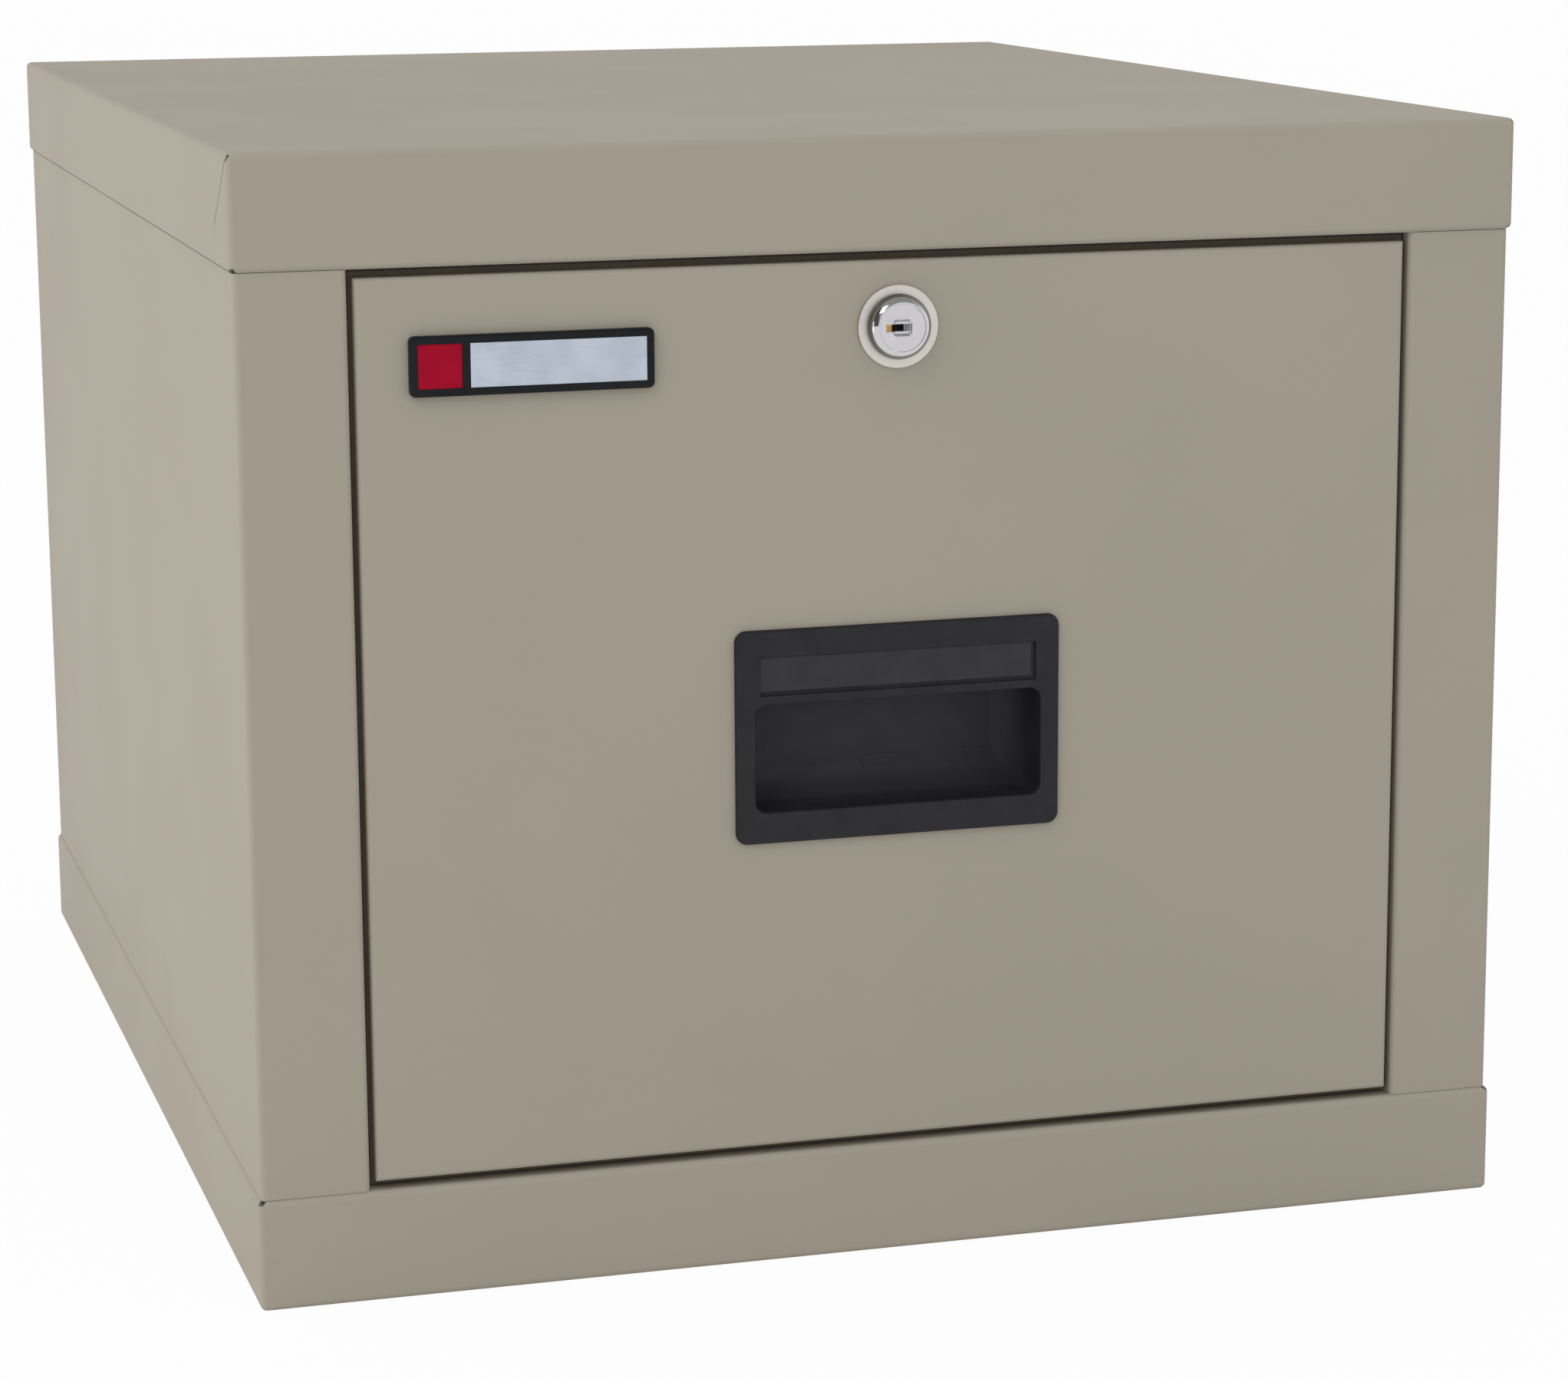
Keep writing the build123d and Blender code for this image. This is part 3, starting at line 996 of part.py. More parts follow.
with BuildPart() as lock_plug:
    with BuildSketch(lying_at(0, PLUG_FACE, LOCK_CENTRE)):
        Circle(FACE_RADIUS)
    extrude(amount=-FACE_THICKNESS)
    with BuildSketch(lying_at(0, PLUG_SHOULDER, LOCK_CENTRE)):
        Circle(PLUG_RADIUS)
    extrude(amount=PLUG_SHOULDER - BARREL_END)
    with BuildSketch(lying_at(0, BARREL_END, LOCK_CENTRE)):
        Rectangle(TAIL_WIDTH, TAIL_WIDTH)
    extrude(amount=BARREL_END - TAIL_END)
    with BuildSketch(lying_at(0, TAIL_END, LOCK_CENTRE)):
        Circle(CAM_SCREW_RADIUS + SCREW_FIT)
    extrude(amount=CAM_SCREW_LENGTH + SCREW_FIT, mode=Mode.SUBTRACT)
    with BuildSketch(lying_at(0, PLUG_FACE, LOCK_CENTRE)):
        RectangleRounded(WINDOW_WIDTH, WINDOW_HEIGHT, WINDOW_CORNER)
    extrude(amount=-WINDOW_DEPTH, taper=45, mode=Mode.SUBTRACT)
    with BuildSketch(lying_at(0, PLUG_FACE, LOCK_CENTRE)):
        with Locations(((KEYWAY_LEFT + KEYWAY_RIGHT) / 2, 0)):
            Rectangle(KEYWAY_RIGHT - KEYWAY_LEFT, KEYWAY_HEIGHT)
    extrude(amount=-KEYWAY_DEPTH, mode=Mode.SUBTRACT)
lock_plug.part.label = "lock_plug"
export_step(lock_plug.part, "parts/lock_plug.step")

with BuildPart() as key_tumbler:
    with BuildSketch(lying_at(0, PLUG_FACE + TUMBLER_SINK, LOCK_CENTRE)):
        with Locations((KEYWAY_LEFT + PLUG_GAP + TUMBLER_WIDTH / 2, 0)):
            Rectangle(TUMBLER_WIDTH, KEYWAY_HEIGHT - 2 * PLUG_GAP)
    extrude(amount=-TUMBLER_LENGTH)
key_tumbler.part.label = "key_tumbler"
export_step(key_tumbler.part, "parts/key_tumbler.step")

with BuildPart() as keyway_guard:
    for step in range(WARD_COUNT):
        with BuildSketch(lying_at(0, PLUG_FACE + (step + 1) * WARD_SINK, LOCK_CENTRE)):
            with Locations((KEYWAY_RIGHT - PLUG_GAP - (step + 0.5) * WARD_WIDTH, 0)):
                Rectangle(WARD_WIDTH, KEYWAY_HEIGHT - 2 * PLUG_GAP)
        extrude(amount=-TUMBLER_LENGTH)
keyway_guard.part.label = "keyway_guard"
export_step(keyway_guard.part, "parts/keyway_guard.step")

with BuildPart() as lock_cam:
    with BuildSketch(lying_at(0, CAM_FRONT, LOCK_CENTRE)):
        Circle(CAM_RADIUS)
    extrude(amount=-CAM_THICKNESS)
    with BuildSketch(lying_at(PIN_REST_X, CAM_BACK, PIN_REST_Z)):
        Circle(CRANK_PIN)
    extrude(amount=-CRANK_PIN_LENGTH)
    with BuildSketch(lying_at(0, CAM_FRONT, LOCK_CENTRE)):
        Rectangle(TAIL_WIDTH + 2 * PLUG_GAP, TAIL_WIDTH + 2 * PLUG_GAP)
    extrude(amount=-CAM_THICKNESS, mode=Mode.SUBTRACT)
    with BuildSketch(lying_at(0, CAM_BACK, LOCK_CENTRE)):
        Circle(CAM_SCREW_HEAD + SCREW_FIT)
    extrude(amount=CAM_SCREW_SINK, mode=Mode.SUBTRACT)
lock_cam.part.label = "lock_cam"
export_step(lock_cam.part, "parts/lock_cam.step")

with BuildPart() as cam_screw:
    with BuildSketch(lying_at(0, TAIL_END, LOCK_CENTRE)):
        Circle(CAM_SCREW_HEAD)
    extrude(amount=-CAM_SCREW_SINK)
    with BuildSketch(lying_at(0, TAIL_END, LOCK_CENTRE)):
        Circle(CAM_SCREW_RADIUS)
    extrude(amount=CAM_SCREW_LENGTH)
cam_screw.part.label = "cam_screw"
export_step(cam_screw.part, "parts/cam_screw.step")
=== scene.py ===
"""Dresses a one-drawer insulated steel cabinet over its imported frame.

Metres throughout. X runs to the right, the front faces -Y and Z is up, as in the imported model.
"""

from __future__ import annotations

import json
import logging
import math
from dataclasses import dataclass, field
from enum import Enum
from typing import Iterable, Sequence, Union

import bpy
from mathutils import Matrix, Vector

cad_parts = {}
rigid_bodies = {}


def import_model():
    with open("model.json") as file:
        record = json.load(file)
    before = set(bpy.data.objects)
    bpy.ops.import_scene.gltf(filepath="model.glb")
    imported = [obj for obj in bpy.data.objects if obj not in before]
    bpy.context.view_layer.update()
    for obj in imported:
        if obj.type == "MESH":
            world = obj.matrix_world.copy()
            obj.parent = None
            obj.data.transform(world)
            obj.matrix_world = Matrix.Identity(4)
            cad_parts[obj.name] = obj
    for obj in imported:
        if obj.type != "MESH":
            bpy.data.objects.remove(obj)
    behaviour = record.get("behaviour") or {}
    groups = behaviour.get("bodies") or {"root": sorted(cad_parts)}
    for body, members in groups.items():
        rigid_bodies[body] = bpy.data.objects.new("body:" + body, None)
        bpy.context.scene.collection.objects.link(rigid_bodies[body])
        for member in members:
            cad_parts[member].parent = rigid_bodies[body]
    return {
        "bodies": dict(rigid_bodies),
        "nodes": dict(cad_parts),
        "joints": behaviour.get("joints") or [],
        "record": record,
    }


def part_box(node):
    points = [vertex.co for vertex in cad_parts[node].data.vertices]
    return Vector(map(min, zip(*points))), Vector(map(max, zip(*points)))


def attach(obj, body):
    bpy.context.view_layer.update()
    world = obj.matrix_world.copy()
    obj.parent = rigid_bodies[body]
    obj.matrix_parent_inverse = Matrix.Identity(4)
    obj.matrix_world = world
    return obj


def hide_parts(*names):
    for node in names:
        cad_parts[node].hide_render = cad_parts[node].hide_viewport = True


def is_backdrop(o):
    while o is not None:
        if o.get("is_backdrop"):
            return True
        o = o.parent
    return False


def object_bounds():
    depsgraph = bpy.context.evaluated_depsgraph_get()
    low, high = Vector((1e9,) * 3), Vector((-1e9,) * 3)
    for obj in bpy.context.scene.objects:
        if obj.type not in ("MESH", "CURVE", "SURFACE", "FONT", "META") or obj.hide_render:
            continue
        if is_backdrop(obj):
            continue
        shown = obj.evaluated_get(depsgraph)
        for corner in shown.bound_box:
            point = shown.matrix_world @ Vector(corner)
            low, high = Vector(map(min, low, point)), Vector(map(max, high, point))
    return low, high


LOG = logging.getLogger("cabinet")
MM = 0.001
MICRON = 1e-6

Colour = tuple[float, float, float]
Place = tuple[float, float, float]
Pair = tuple[float, float]
Socket = bpy.types.NodeSocket
Feed = Union[float, Sequence[float], Socket]


def paint(red: int, green: int, blue: int) -> Colour:
    """Turns a paint-chart colour into the linear light that shaders work in.

    Args:
        red: Red of the chart colour, 0 to 255.
        green: Green of the chart colour, 0 to 255.
        blue: Blue of the chart colour, 0 to 255.

    Returns:
        The colour in linear light, each channel 0 to 1.
    """

    def linear(level: int) -> float:
        """Straightens one channel of the display curve."""
        share = level / 255
        return share / 12.92 if share <= 0.04045 else ((share + 0.055) / 1.055) ** 2.4

    return linear(red), linear(green), linear(blue)


def grey(level: float) -> Colour:
    """Gives a grey of one level."""
    return level, level, level


def lighter(colour: Colour, gain: float, lift: float = 0.0) -> Colour:
    """Multiplies a colour's channels by a gain, lifts them, and holds them at white."""
    return tuple(min(1.0, lift + gain * part) for part in colour)


def held(share: float) -> float:
    """Holds a share between 0 and 1."""
    return min(1.0, max(0.0, share))


WHITE = grey(1.0)
DUST = paint(205, 202, 196)


class Effect(Enum):
    """Surface effects that several finishes share."""

    TONE = "tone drift"
    WEAR = "edge wear"
    GRAIN = "fine grain"
    STREAK = "drawn streaks"
    RINGS = "turned rings"
    DUST = "settled dust"
    BRAID = "tape braid"
    FLECK = "cast flecks"
    DEPTH = "depth behind the front"


@dataclass(frozen=True)
class Bench:
    """A node tree with short calls that place its nodes and join them.

    Attributes:
        tree: The node tree of a material, a world or a shared effect.
    """

    tree: bpy.types.NodeTree

    @classmethod
    def cleared(cls, owner: bpy.types.Material | bpy.types.World) -> Bench:
        """Empties the nodes of a material or a world and works on them.

        Args:
            owner: The material or world.

        Returns:
            The bench on its node tree.
        """
        owner.use_nodes = True
        owner.node_tree.nodes.clear()
        return cls(owner.node_tree)

    def feed(self, socket: Socket, value: Feed) -> None:
        """Joins a socket to another one, or sets its plain value.

        Args:
            socket: The input that takes the value.
            value: An output socket, a number, a vector or a colour.
        """
        if isinstance(value, Socket):
            self.tree.links.new(value, socket)
        elif socket.type == "RGBA":
            socket.default_value = (*value, 1.0)
        else:
            socket.default_value = value

    def node(
        self, kind: str, feeds: dict[str | int, Feed] | None = None, **settings: object
    ) -> bpy.types.Node:
        """Places a node.

        Args:
            kind: Blender's name for the node's type.
            feeds: What goes into each input, by name or number.
            **settings: The node's own options.

        Returns:
            The new node.
        """
        made = self.tree.nodes.new(kind)
        for name, value in settings.items():
            setattr(made, name, value)
        for key, value in (feeds or {}).items():
            self.feed(made.inputs[key], value)
        return made

    def maths(self, operation: str, *values: Feed) -> Socket:
        """Places a Math node on one to three numbers or sockets."""
        return self.node("ShaderNodeMath", dict(enumerate(values)), operation=operation).outputs[0]

    def vector(self, operation: str, *values: Feed) -> bpy.types.Node:
        """Places a Vector Math node, whose first output is a vector and "Value" a number."""
        return self.node("ShaderNodeVectorMath", dict(enumerate(values)), operation=operation)

    def split(self, vector: Feed, axis: str) -> Socket:
        """Takes one axis out of a vector."""
        return self.node("ShaderNodeSeparateXYZ", {0: vector}).outputs[axis]

    def added(self, value: Feed, mask: Feed, by: Feed) -> Socket:
        """Raises a value by a set amount where a mask is full."""
        return self.maths("MULTIPLY_ADD", mask, by, value)

    def spread(
        self, value: Feed, low: Feed = 0.0, high: Feed = 1.0, floor: float = 0.0, roof: float = 1.0
    ) -> Socket:
        """Maps low to high softly onto floor to roof, and holds the result at both ends."""
        feeds = {"Value": value, "From Min": low, "From Max": high, "To Min": floor, "To Max": roof}
        return self.node("ShaderNodeMapRange", feeds, interpolation_type="SMOOTHSTEP").outputs[0]

    def blend(self, factor: Feed, first: Feed, second: Feed) -> Socket:
        """Mixes two colours. The factor says how much of the second one shows."""
        feeds = {0: factor, 6: first, 7: second}
        return self.node("ShaderNodeMix", feeds, data_type="RGBA").outputs[2]

    def place(self) -> Socket:
        """Gives the place on the piece, in metres."""
        return self.node("ShaderNodeTexCoord").outputs["Object"]

    def noise(self, place: Feed, size: Feed, detail: float = 2.0) -> Socket:
        """Places a noise whose patches have a real size.

        Args:
            place: The coordinates.
            size: The size of a patch in metres.
            detail: How many finer layers it has.

        Returns:
            The noise value, about 0.3 to 0.7.
        """
        scale = self.maths("DIVIDE", 1.0, size)
        feeds = {"Vector": place, "Scale": scale, "Detail": detail}
        return self.node("ShaderNodeTexNoise", feeds).outputs[0]

    def takes(self, **kinds: str) -> list[Socket]:
        """Args:
            **kinds: The kind of socket of each input, by name.

        Returns:
            The sockets inside the group that carry them.
        """
        for name, kind in kinds.items():
            self.tree.interface.new_socket(name, in_out="INPUT", socket_type=f"NodeSocket{kind}")
        inner = self.node("NodeGroupInput")
        return [inner.outputs[name] for name in kinds]

    def gives(self, **values: Socket) -> None:
        """Args:
            **values: What each output gives, by name.
        """
        for name, value in values.items():
            kind = "Color" if value.type == "RGBA" else "Float"
            self.tree.interface.new_socket(name, in_out="OUTPUT", socket_type=f"NodeSocket{kind}")
        self.node("NodeGroupOutput", values)


@dataclass
class Workshop:
    """Builds each shared effect once and hands it out.

    The method that builds an effect bears the effect's name in small letters.

    Attributes:
        built: The effects built so far.
    """

    built: dict[Effect, bpy.types.NodeTree] = field(default_factory=dict)

    def group(self, effect: Effect) -> bpy.types.NodeTree:
        """Builds an effect's node group, or gives the one built before.

        Args:
            effect: Which effect.

        Returns:
            The node group.
        """
        if effect not in self.built:
            self.built[effect] = bpy.data.node_groups.new(effect.value, "ShaderNodeTree")
            getattr(self, effect.name.lower())(Bench(self.built[effect]))
        return self.built[effect]

    def tone(self, bench: Bench) -> None:
        """Slow drift between two close colours.

        Args:
            bench: The group's nodes.
        """
        first, second, size, amount = bench.takes(
            First="Color", Second="Color", Size="Float", Amount="Float"
        )
        patches = bench.spread(bench.noise(bench.place(), size, detail=3.0), low=0.35, high=0.65)
        mask = bench.maths("MULTIPLY", patches, amount)
        bench.gives(Colour=bench.blend(mask, first, second), Mask=mask)

    def wear(self, bench: Bench) -> None:
        """Rubbed edges: where the surface turns within a small radius, broken up by noise.

        Args:
            bench: The group's nodes.
        """
        radius, breakup, amount = bench.takes(Radius="Float", Breakup="Float", Amount="Float")
        rounded = bench.node("ShaderNodeBevel", {"Radius": radius}, samples=4).outputs[0]
        true = bench.node("ShaderNodeNewGeometry").outputs["Normal"]
        facing = bench.vector("DOT_PRODUCT", rounded, true).outputs["Value"]
        turned = bench.spread(bench.maths("SUBTRACT", 1.0, facing), low=0.02, high=0.22)
        patches = bench.spread(bench.noise(bench.place(), breakup, detail=4.0), low=0.42, high=0.62)
        broken = bench.maths("MULTIPLY", turned, patches)
        bench.gives(Mask=bench.maths("MULTIPLY", broken, amount))

    def grain(self, bench: Bench) -> None:
        """Fine even grain, such as orange peel or an etched mould.

        Args:
            bench: The group's nodes.
        """
        fine_size, fine_share = 0.37, 0.4
        (size,) = bench.takes(Size="Float")
        place = bench.place()
        coarse = bench.noise(place, size, detail=1.0)
        fine = bench.noise(place, bench.maths("MULTIPLY", size, fine_size))
        coarse = bench.maths("MULTIPLY", coarse, 1 - fine_share)
        bench.gives(Height=bench.added(coarse, fine, by=fine_share))

    def streak(self, bench: Bench) -> None:
        """Lines drawn along one direction by rolling or brushing.

        Args:
            bench: The group's nodes.
        """
        squeeze, size = bench.takes(Squeeze="Vector", Size="Float")
        squeezed = bench.vector("MULTIPLY", bench.place(), squeeze).outputs[0]
        lines = bench.noise(squeezed, size, detail=4.0)
        bench.gives(Height=lines, Mask=bench.spread(lines, low=0.38, high=0.62))

    def rings(self, bench: Bench) -> None:
        """Rings left by a lathe round an axis that runs along Y.

        Args:
            bench: The group's nodes.
        """
        centre, pitch = bench.takes(Centre="Vector", Pitch="Float")
        from_axis = bench.vector("SUBTRACT", bench.place(), centre).outputs[0]
        flat = bench.vector("MULTIPLY", from_axis, (1.0, 0.0, 1.0)).outputs[0]
        reach = bench.vector("LENGTH", flat).outputs["Value"]
        drawn = bench.node("ShaderNodeCombineXYZ", {0: reach}).outputs[0]
        lines = bench.noise(drawn, pitch, detail=3.0)
        bench.gives(Height=lines, Mask=bench.spread(lines, low=0.4, high=0.6))

    def dust(self, bench: Bench) -> None:
        """A thin film on faces that look up.

        Args:
            bench: The group's nodes.
        """
        size, amount = bench.takes(Size="Float", Amount="Float")
        up = bench.split(bench.node("ShaderNodeNewGeometry").outputs["Normal"], "Z")
        film = bench.spread(bench.noise(bench.place(), size, detail=5.0), low=0.4, high=0.7)
        lying = bench.maths("MULTIPLY", bench.spread(up, low=0.6), film)
        bench.gives(Mask=bench.maths("MULTIPLY", lying, amount))

    def braid(self, bench: Bench) -> None:
        """Two sets of crossing yarns on a tape that lies in an upright plane.

        Args:
            bench: The group's nodes.
        """
        (pitch,) = bench.takes(Pitch="Float")
        place = bench.place()
        across, up = bench.split(place, "X"), bench.split(place, "Z")
        turns = bench.maths("DIVIDE", math.pi, pitch)
        yarns = []
        for operation in ("ADD", "SUBTRACT"):
            angle = bench.maths("MULTIPLY", bench.maths(operation, across, up), turns)
            yarns.append(bench.maths("ABSOLUTE", bench.maths("SINE", angle)))
        height = bench.maths("MAXIMUM", *yarns)
        bench.gives(Height=height, Mask=bench.spread(height, low=0.55, high=0.95))

    def fleck(self, bench: Bench) -> None:
        """Light flakes and pores in a cast filling.

        Args:
            bench: The group's nodes.
        """
        (size,) = bench.takes(Size="Float")
        scale = bench.maths("DIVIDE", 1.0, size)
        cells = bench.node("ShaderNodeTexVoronoi", {"Vector": bench.place(), "Scale": scale})
        flakes = bench.spread(cells.outputs["Distance"], low=0.12, high=0.42, floor=1.0, roof=0.0)
        pores = bench.noise(bench.place(), size, detail=6.0)
        bench.gives(Height=bench.added(pores, flakes, by=0.4), Mask=flakes)

    def depth(self, bench: Bench) -> None:
        """Grows from one place along Y to another, with an uneven front.

        Args:
            bench: The group's nodes.
        """
        start, end, ripple = bench.takes(Start="Float", End="Float", Ripple="Float")
        place = bench.place()
        uneven = bench.maths("SUBTRACT", bench.noise(place, size=6 * MM, detail=3.0), 0.5)
        depth = bench.added(bench.split(place, "Y"), uneven, by=ripple)
        bench.gives(Mask=bench.spread(depth, start, end))


@dataclass(frozen=True)
class Coat(Bench):
    """The nodes of a material while its finish is laid on.

    Attributes:
        shader: The material's Principled BSDF.
        workshop: Where the shared effects come from.
    """

    shader: bpy.types.Node
    workshop: Workshop

    def use(self, effect: Effect, **feeds: Feed) -> bpy.types.NodeOutputs:
        """Places a shared effect.

        Args:
            effect: Which effect to place.
            **feeds: What goes into its inputs, by their names in small letters.

        Returns:
            The effect's outputs.
        """
        placed = self.node("ShaderNodeGroup", node_tree=self.workshop.group(effect))
        for name, value in feeds.items():
            self.feed(placed.inputs[name.capitalize()], value)
        return placed.outputs

    def lay(self, feeds: dict[str, Feed]) -> None:
        """Feeds the shader's inputs by name."""
        for name, value in feeds.items():
            self.feed(self.shader.inputs[name], value)

    def bump(self, height: Feed, depth: float) -> None:
        """Raises the surface by a height map of 0 to 1, whose full step is a depth in metres."""
        raised = self.node("ShaderNodeBump", {"Height": height, "Distance": depth})
        self.lay({"Normal": raised.outputs[0]})


@dataclass(frozen=True)
class Finish:
    """What every finish has.

    Attributes:
        name: The finish's name in a maker's words.
        slot: The record's material slot that it belongs to.
    """

    name: str
    slot: str

    def material(self, workshop: Workshop) -> bpy.types.Material:
        """Makes the material, or gives the one made before.

        Args:
            workshop: Where the shared effects come from.

        Returns:
            The material.
        """
        known = bpy.data.materials.get(self.name)
        if known:
            return known
        made = bpy.data.materials.new(self.name)
        bench = Bench.cleared(made)
        shader = bench.node("ShaderNodeBsdfPrincipled")
        bench.node("ShaderNodeOutputMaterial", {"Surface": shader.outputs[0]})
        self.shade(Coat(bench.tree, shader, workshop))
        return made

    def shade(self, coat: Coat) -> None:
        """Lays the finish on the material's shader."""
        raise NotImplementedError


@dataclass(frozen=True)
class Enamel(Finish):
    """Baked enamel on sheet steel: orange peel, edges paler from wear and a painted highlight, a
    little dust.

    Attributes:
        colour: The main colour.
        drift: A close second colour that it drifts to.
        roughness: Roughness where it is smoothest.
        peel: Size of the orange peel.
        peel_depth: Depth of the orange peel.
        wear: How much of the edges is rubbed and painted paler, partly as a painted highlight.
        dust: How much dust lies on top.
        gloss: Strength of the clear reflection.
    """

    colour: Colour
    drift: Colour
    roughness: float = 0.56
    peel: float = 0.9 * MM
    peel_depth: float = 14 * MICRON
    wear: float = 0.3
    dust: float = 0.04
    gloss: float = 0.08

    def shade(self, coat: Coat) -> None:
        """Lays the enamel on the shader.

        Args:
            coat: The material's nodes.
        """
        tone = coat.use(Effect.TONE, first=self.colour, second=self.drift, size=0.11, amount=0.35)
        wear = coat.use(Effect.WEAR, radius=0.9 * MM, breakup=5 * MM, amount=self.wear)["Mask"]
        dust = coat.use(Effect.DUST, size=0.02, amount=self.dust)["Mask"]
        peel = coat.use(Effect.GRAIN, size=self.peel)["Height"]
        # The edges are painted paler: partly real wear, partly a painted highlight along the
        # rounded edges.
        colour = coat.blend(wear, tone["Colour"], lighter(self.colour, gain=1.18))
        low, high = self.roughness, self.roughness + 0.05
        rough = coat.added(coat.spread(tone["Mask"], high=0.5, floor=low, roof=high), wear, by=0.15)
        coat.lay(
            {
                "Base Color": coat.blend(dust, colour, DUST),
                "Roughness": coat.added(rough, dust, by=0.5),
                "Specular IOR Level": self.gloss,
            }
        )
        coat.bump(peel, self.peel_depth)


@dataclass(frozen=True)
class CastFilling(Finish):
    """Rough cast gypsum and flake filling.

    Attributes:
        colour: The colour of the gypsum.
        drift: The duller colour that it drifts to.
        flake: The colour of the flakes.
        size: Size of the flakes.
    """

    colour: Colour
    drift: Colour
    flake: Colour
    size: float = 2.5 * MM

    def shade(self, coat: Coat) -> None:
        """Lays the filling on the shader.

        Args:
            coat: The material's nodes.
        """
        tone = coat.use(Effect.TONE, first=self.colour, second=self.drift, size=0.04, amount=0.6)
        fleck = coat.use(Effect.FLECK, size=self.size)
        coat.lay(
            {
                "Base Color": coat.blend(fleck["Mask"], tone["Colour"], self.flake),
                "Roughness": coat.spread(fleck["Mask"], floor=0.92, roof=0.7),
            }
        )
        coat.bump(fleck["Height"], depth=0.4 * MM)


@dataclass(frozen=True)
class SheetMetal(Finish):
    """Bare or plated sheet with lines drawn along it, and a greasy tint in places.

    Attributes:
        colour: The colour of the metal.
        stain: The colour of the duller patches.
        roughness: Roughness where it is brightest.
        squeeze: How the lines are stretched: a small share along the drawing direction.
        line: Width of the drawn lines.
        line_depth: Depth of the drawn lines.
        patch: Size of the duller patches.
    """

    colour: Colour
    stain: Colour
    roughness: float = 0.3
    squeeze: Place = (1.0, 0.02, 1.0)
    line: float = 0.35 * MM
    line_depth: float = 4 * MICRON
    patch: float = 12 * MM

    def shade(self, coat: Coat) -> None:
        """Lays the sheet metal on the shader.

        Args:
            coat: The material's nodes.
        """
        tone = coat.use(
            Effect.TONE, first=self.colour, second=self.stain, size=self.patch, amount=0.7
        )
        lines = coat.use(Effect.STREAK, squeeze=self.squeeze, size=self.line)
        wear = coat.use(Effect.WEAR, radius=0.4 * MM, breakup=3 * MM, amount=0.6)["Mask"]
        low, high = self.roughness, self.roughness + 0.12
        rough = coat.added(coat.spread(lines["Mask"], floor=low, roof=high), tone["Mask"], by=0.15)
        coat.lay(
            {
                "Base Color": coat.blend(wear, tone["Colour"], lighter(self.colour, gain=1.25)),
                "Metallic": 1.0,
                "Roughness": coat.added(rough, wear, by=-0.1),
            }
        )
        coat.bump(lines["Height"], self.line_depth)


@dataclass(frozen=True)
class TurnedMetal(Finish):
    """Metal turned on a lathe round the lock's axis.

    Attributes:
        colour: The colour of the metal.
        tint: A second colour that it drifts to.
        centre: A point on the lock's axis.
        roughness: Roughness where it is smoothest.
        pitch: Distance between the turning rings.
        ring_depth: Depth of the rings.
        tarnish: A painted shade near the foot that darkens its reflections, if there is any.
        tarnish_span: Where along Y the painted shade starts and where it is full.
    """

    colour: Colour
    tint: Colour
    centre: Place
    roughness: float = 0.3
    pitch: float = 0.12 * MM
    ring_depth: float = 1.5 * MICRON
    tarnish: Colour | None = None
    tarnish_span: Pair = (0.0, 0.0)

    def shade(self, coat: Coat) -> None:
        """Lays the turned metal on the shader.

        Args:
            coat: The material's nodes.
        """
        tone = coat.use(Effect.TONE, first=self.colour, second=self.tint, size=4 * MM, amount=0.6)
        rings = coat.use(Effect.RINGS, centre=self.centre, pitch=self.pitch)
        wear = coat.use(Effect.WEAR, radius=0.3 * MM, breakup=1.5 * MM, amount=0.5)["Mask"]
        colour = coat.blend(wear, tone["Colour"], lighter(self.colour, gain=1.2))
        # Painted shade: darker from the crown down to the foot, so the bezel's lower wall reflects
        # darker.
        if self.tarnish:
            start, end = self.tarnish_span
            film = coat.use(Effect.DEPTH, start=start, end=end, ripple=0.3 * MM)["Mask"]
            colour = coat.blend(film, colour, self.tarnish)
        low, high = self.roughness, self.roughness + 0.08
        rough = coat.spread(rings["Mask"], floor=low, roof=high)
        coat.lay({"Base Color": colour, "Metallic": 1.0, "Roughness": rough})
        coat.bump(rings["Height"], self.ring_depth)


@dataclass(frozen=True)
class Moulding(Finish):
    """Moulded plastic with an etched grain and slightly rubbed edges.

    Attributes:
        colour: The main colour.
        drift: A close second colour that it drifts to.
        roughness: Roughness where it is smoothest.
        grain: Size of the etched grain.
        grain_depth: Depth of the etched grain.
        rub: How much the edges are rubbed.
        gloss: Strength of the clear reflection.
        handled: A paler colour painted deep in a pocket as painted light, if there is one.
        handled_span: Where along Y the painted light starts and where it is full.
    """

    colour: Colour
    drift: Colour
    roughness: float = 0.5
    grain: float = 0.35 * MM
    grain_depth: float = 12 * MICRON
    rub: float = 0.35
    gloss: float = 0.5
    handled: Colour | None = None
    handled_span: Pair = (0.0, 0.0)

    def shade(self, coat: Coat) -> None:
        """Lays the moulding on the shader.

        Args:
            coat: The material's nodes.
        """
        tone = coat.use(Effect.TONE, first=self.colour, second=self.drift, size=9 * MM, amount=0.7)
        wear = coat.use(Effect.WEAR, radius=0.5 * MM, breakup=2 * MM, amount=self.rub)["Mask"]
        grain = coat.use(Effect.GRAIN, size=self.grain)["Height"]
        colour = tone["Colour"]
        # Painted light: the pocket is painted paler further in, which lifts its shade.
        if self.handled:
            start, end = self.handled_span
            inside = coat.use(Effect.DEPTH, start=start, end=end, ripple=4 * MM)["Mask"]
            colour = coat.blend(inside, colour, self.handled)
        low, high = self.roughness, self.roughness + 0.08
        rough = coat.spread(tone["Mask"], high=0.7, floor=low, roof=high)
        coat.lay(
            {
                "Base Color": coat.blend(wear, colour, lighter(self.colour, gain=1.8, lift=0.02)),
                "Roughness": coat.added(rough, wear, by=-0.12),
                "Specular IOR Level": self.gloss,
            }
        )
        coat.bump(grain, self.grain_depth)


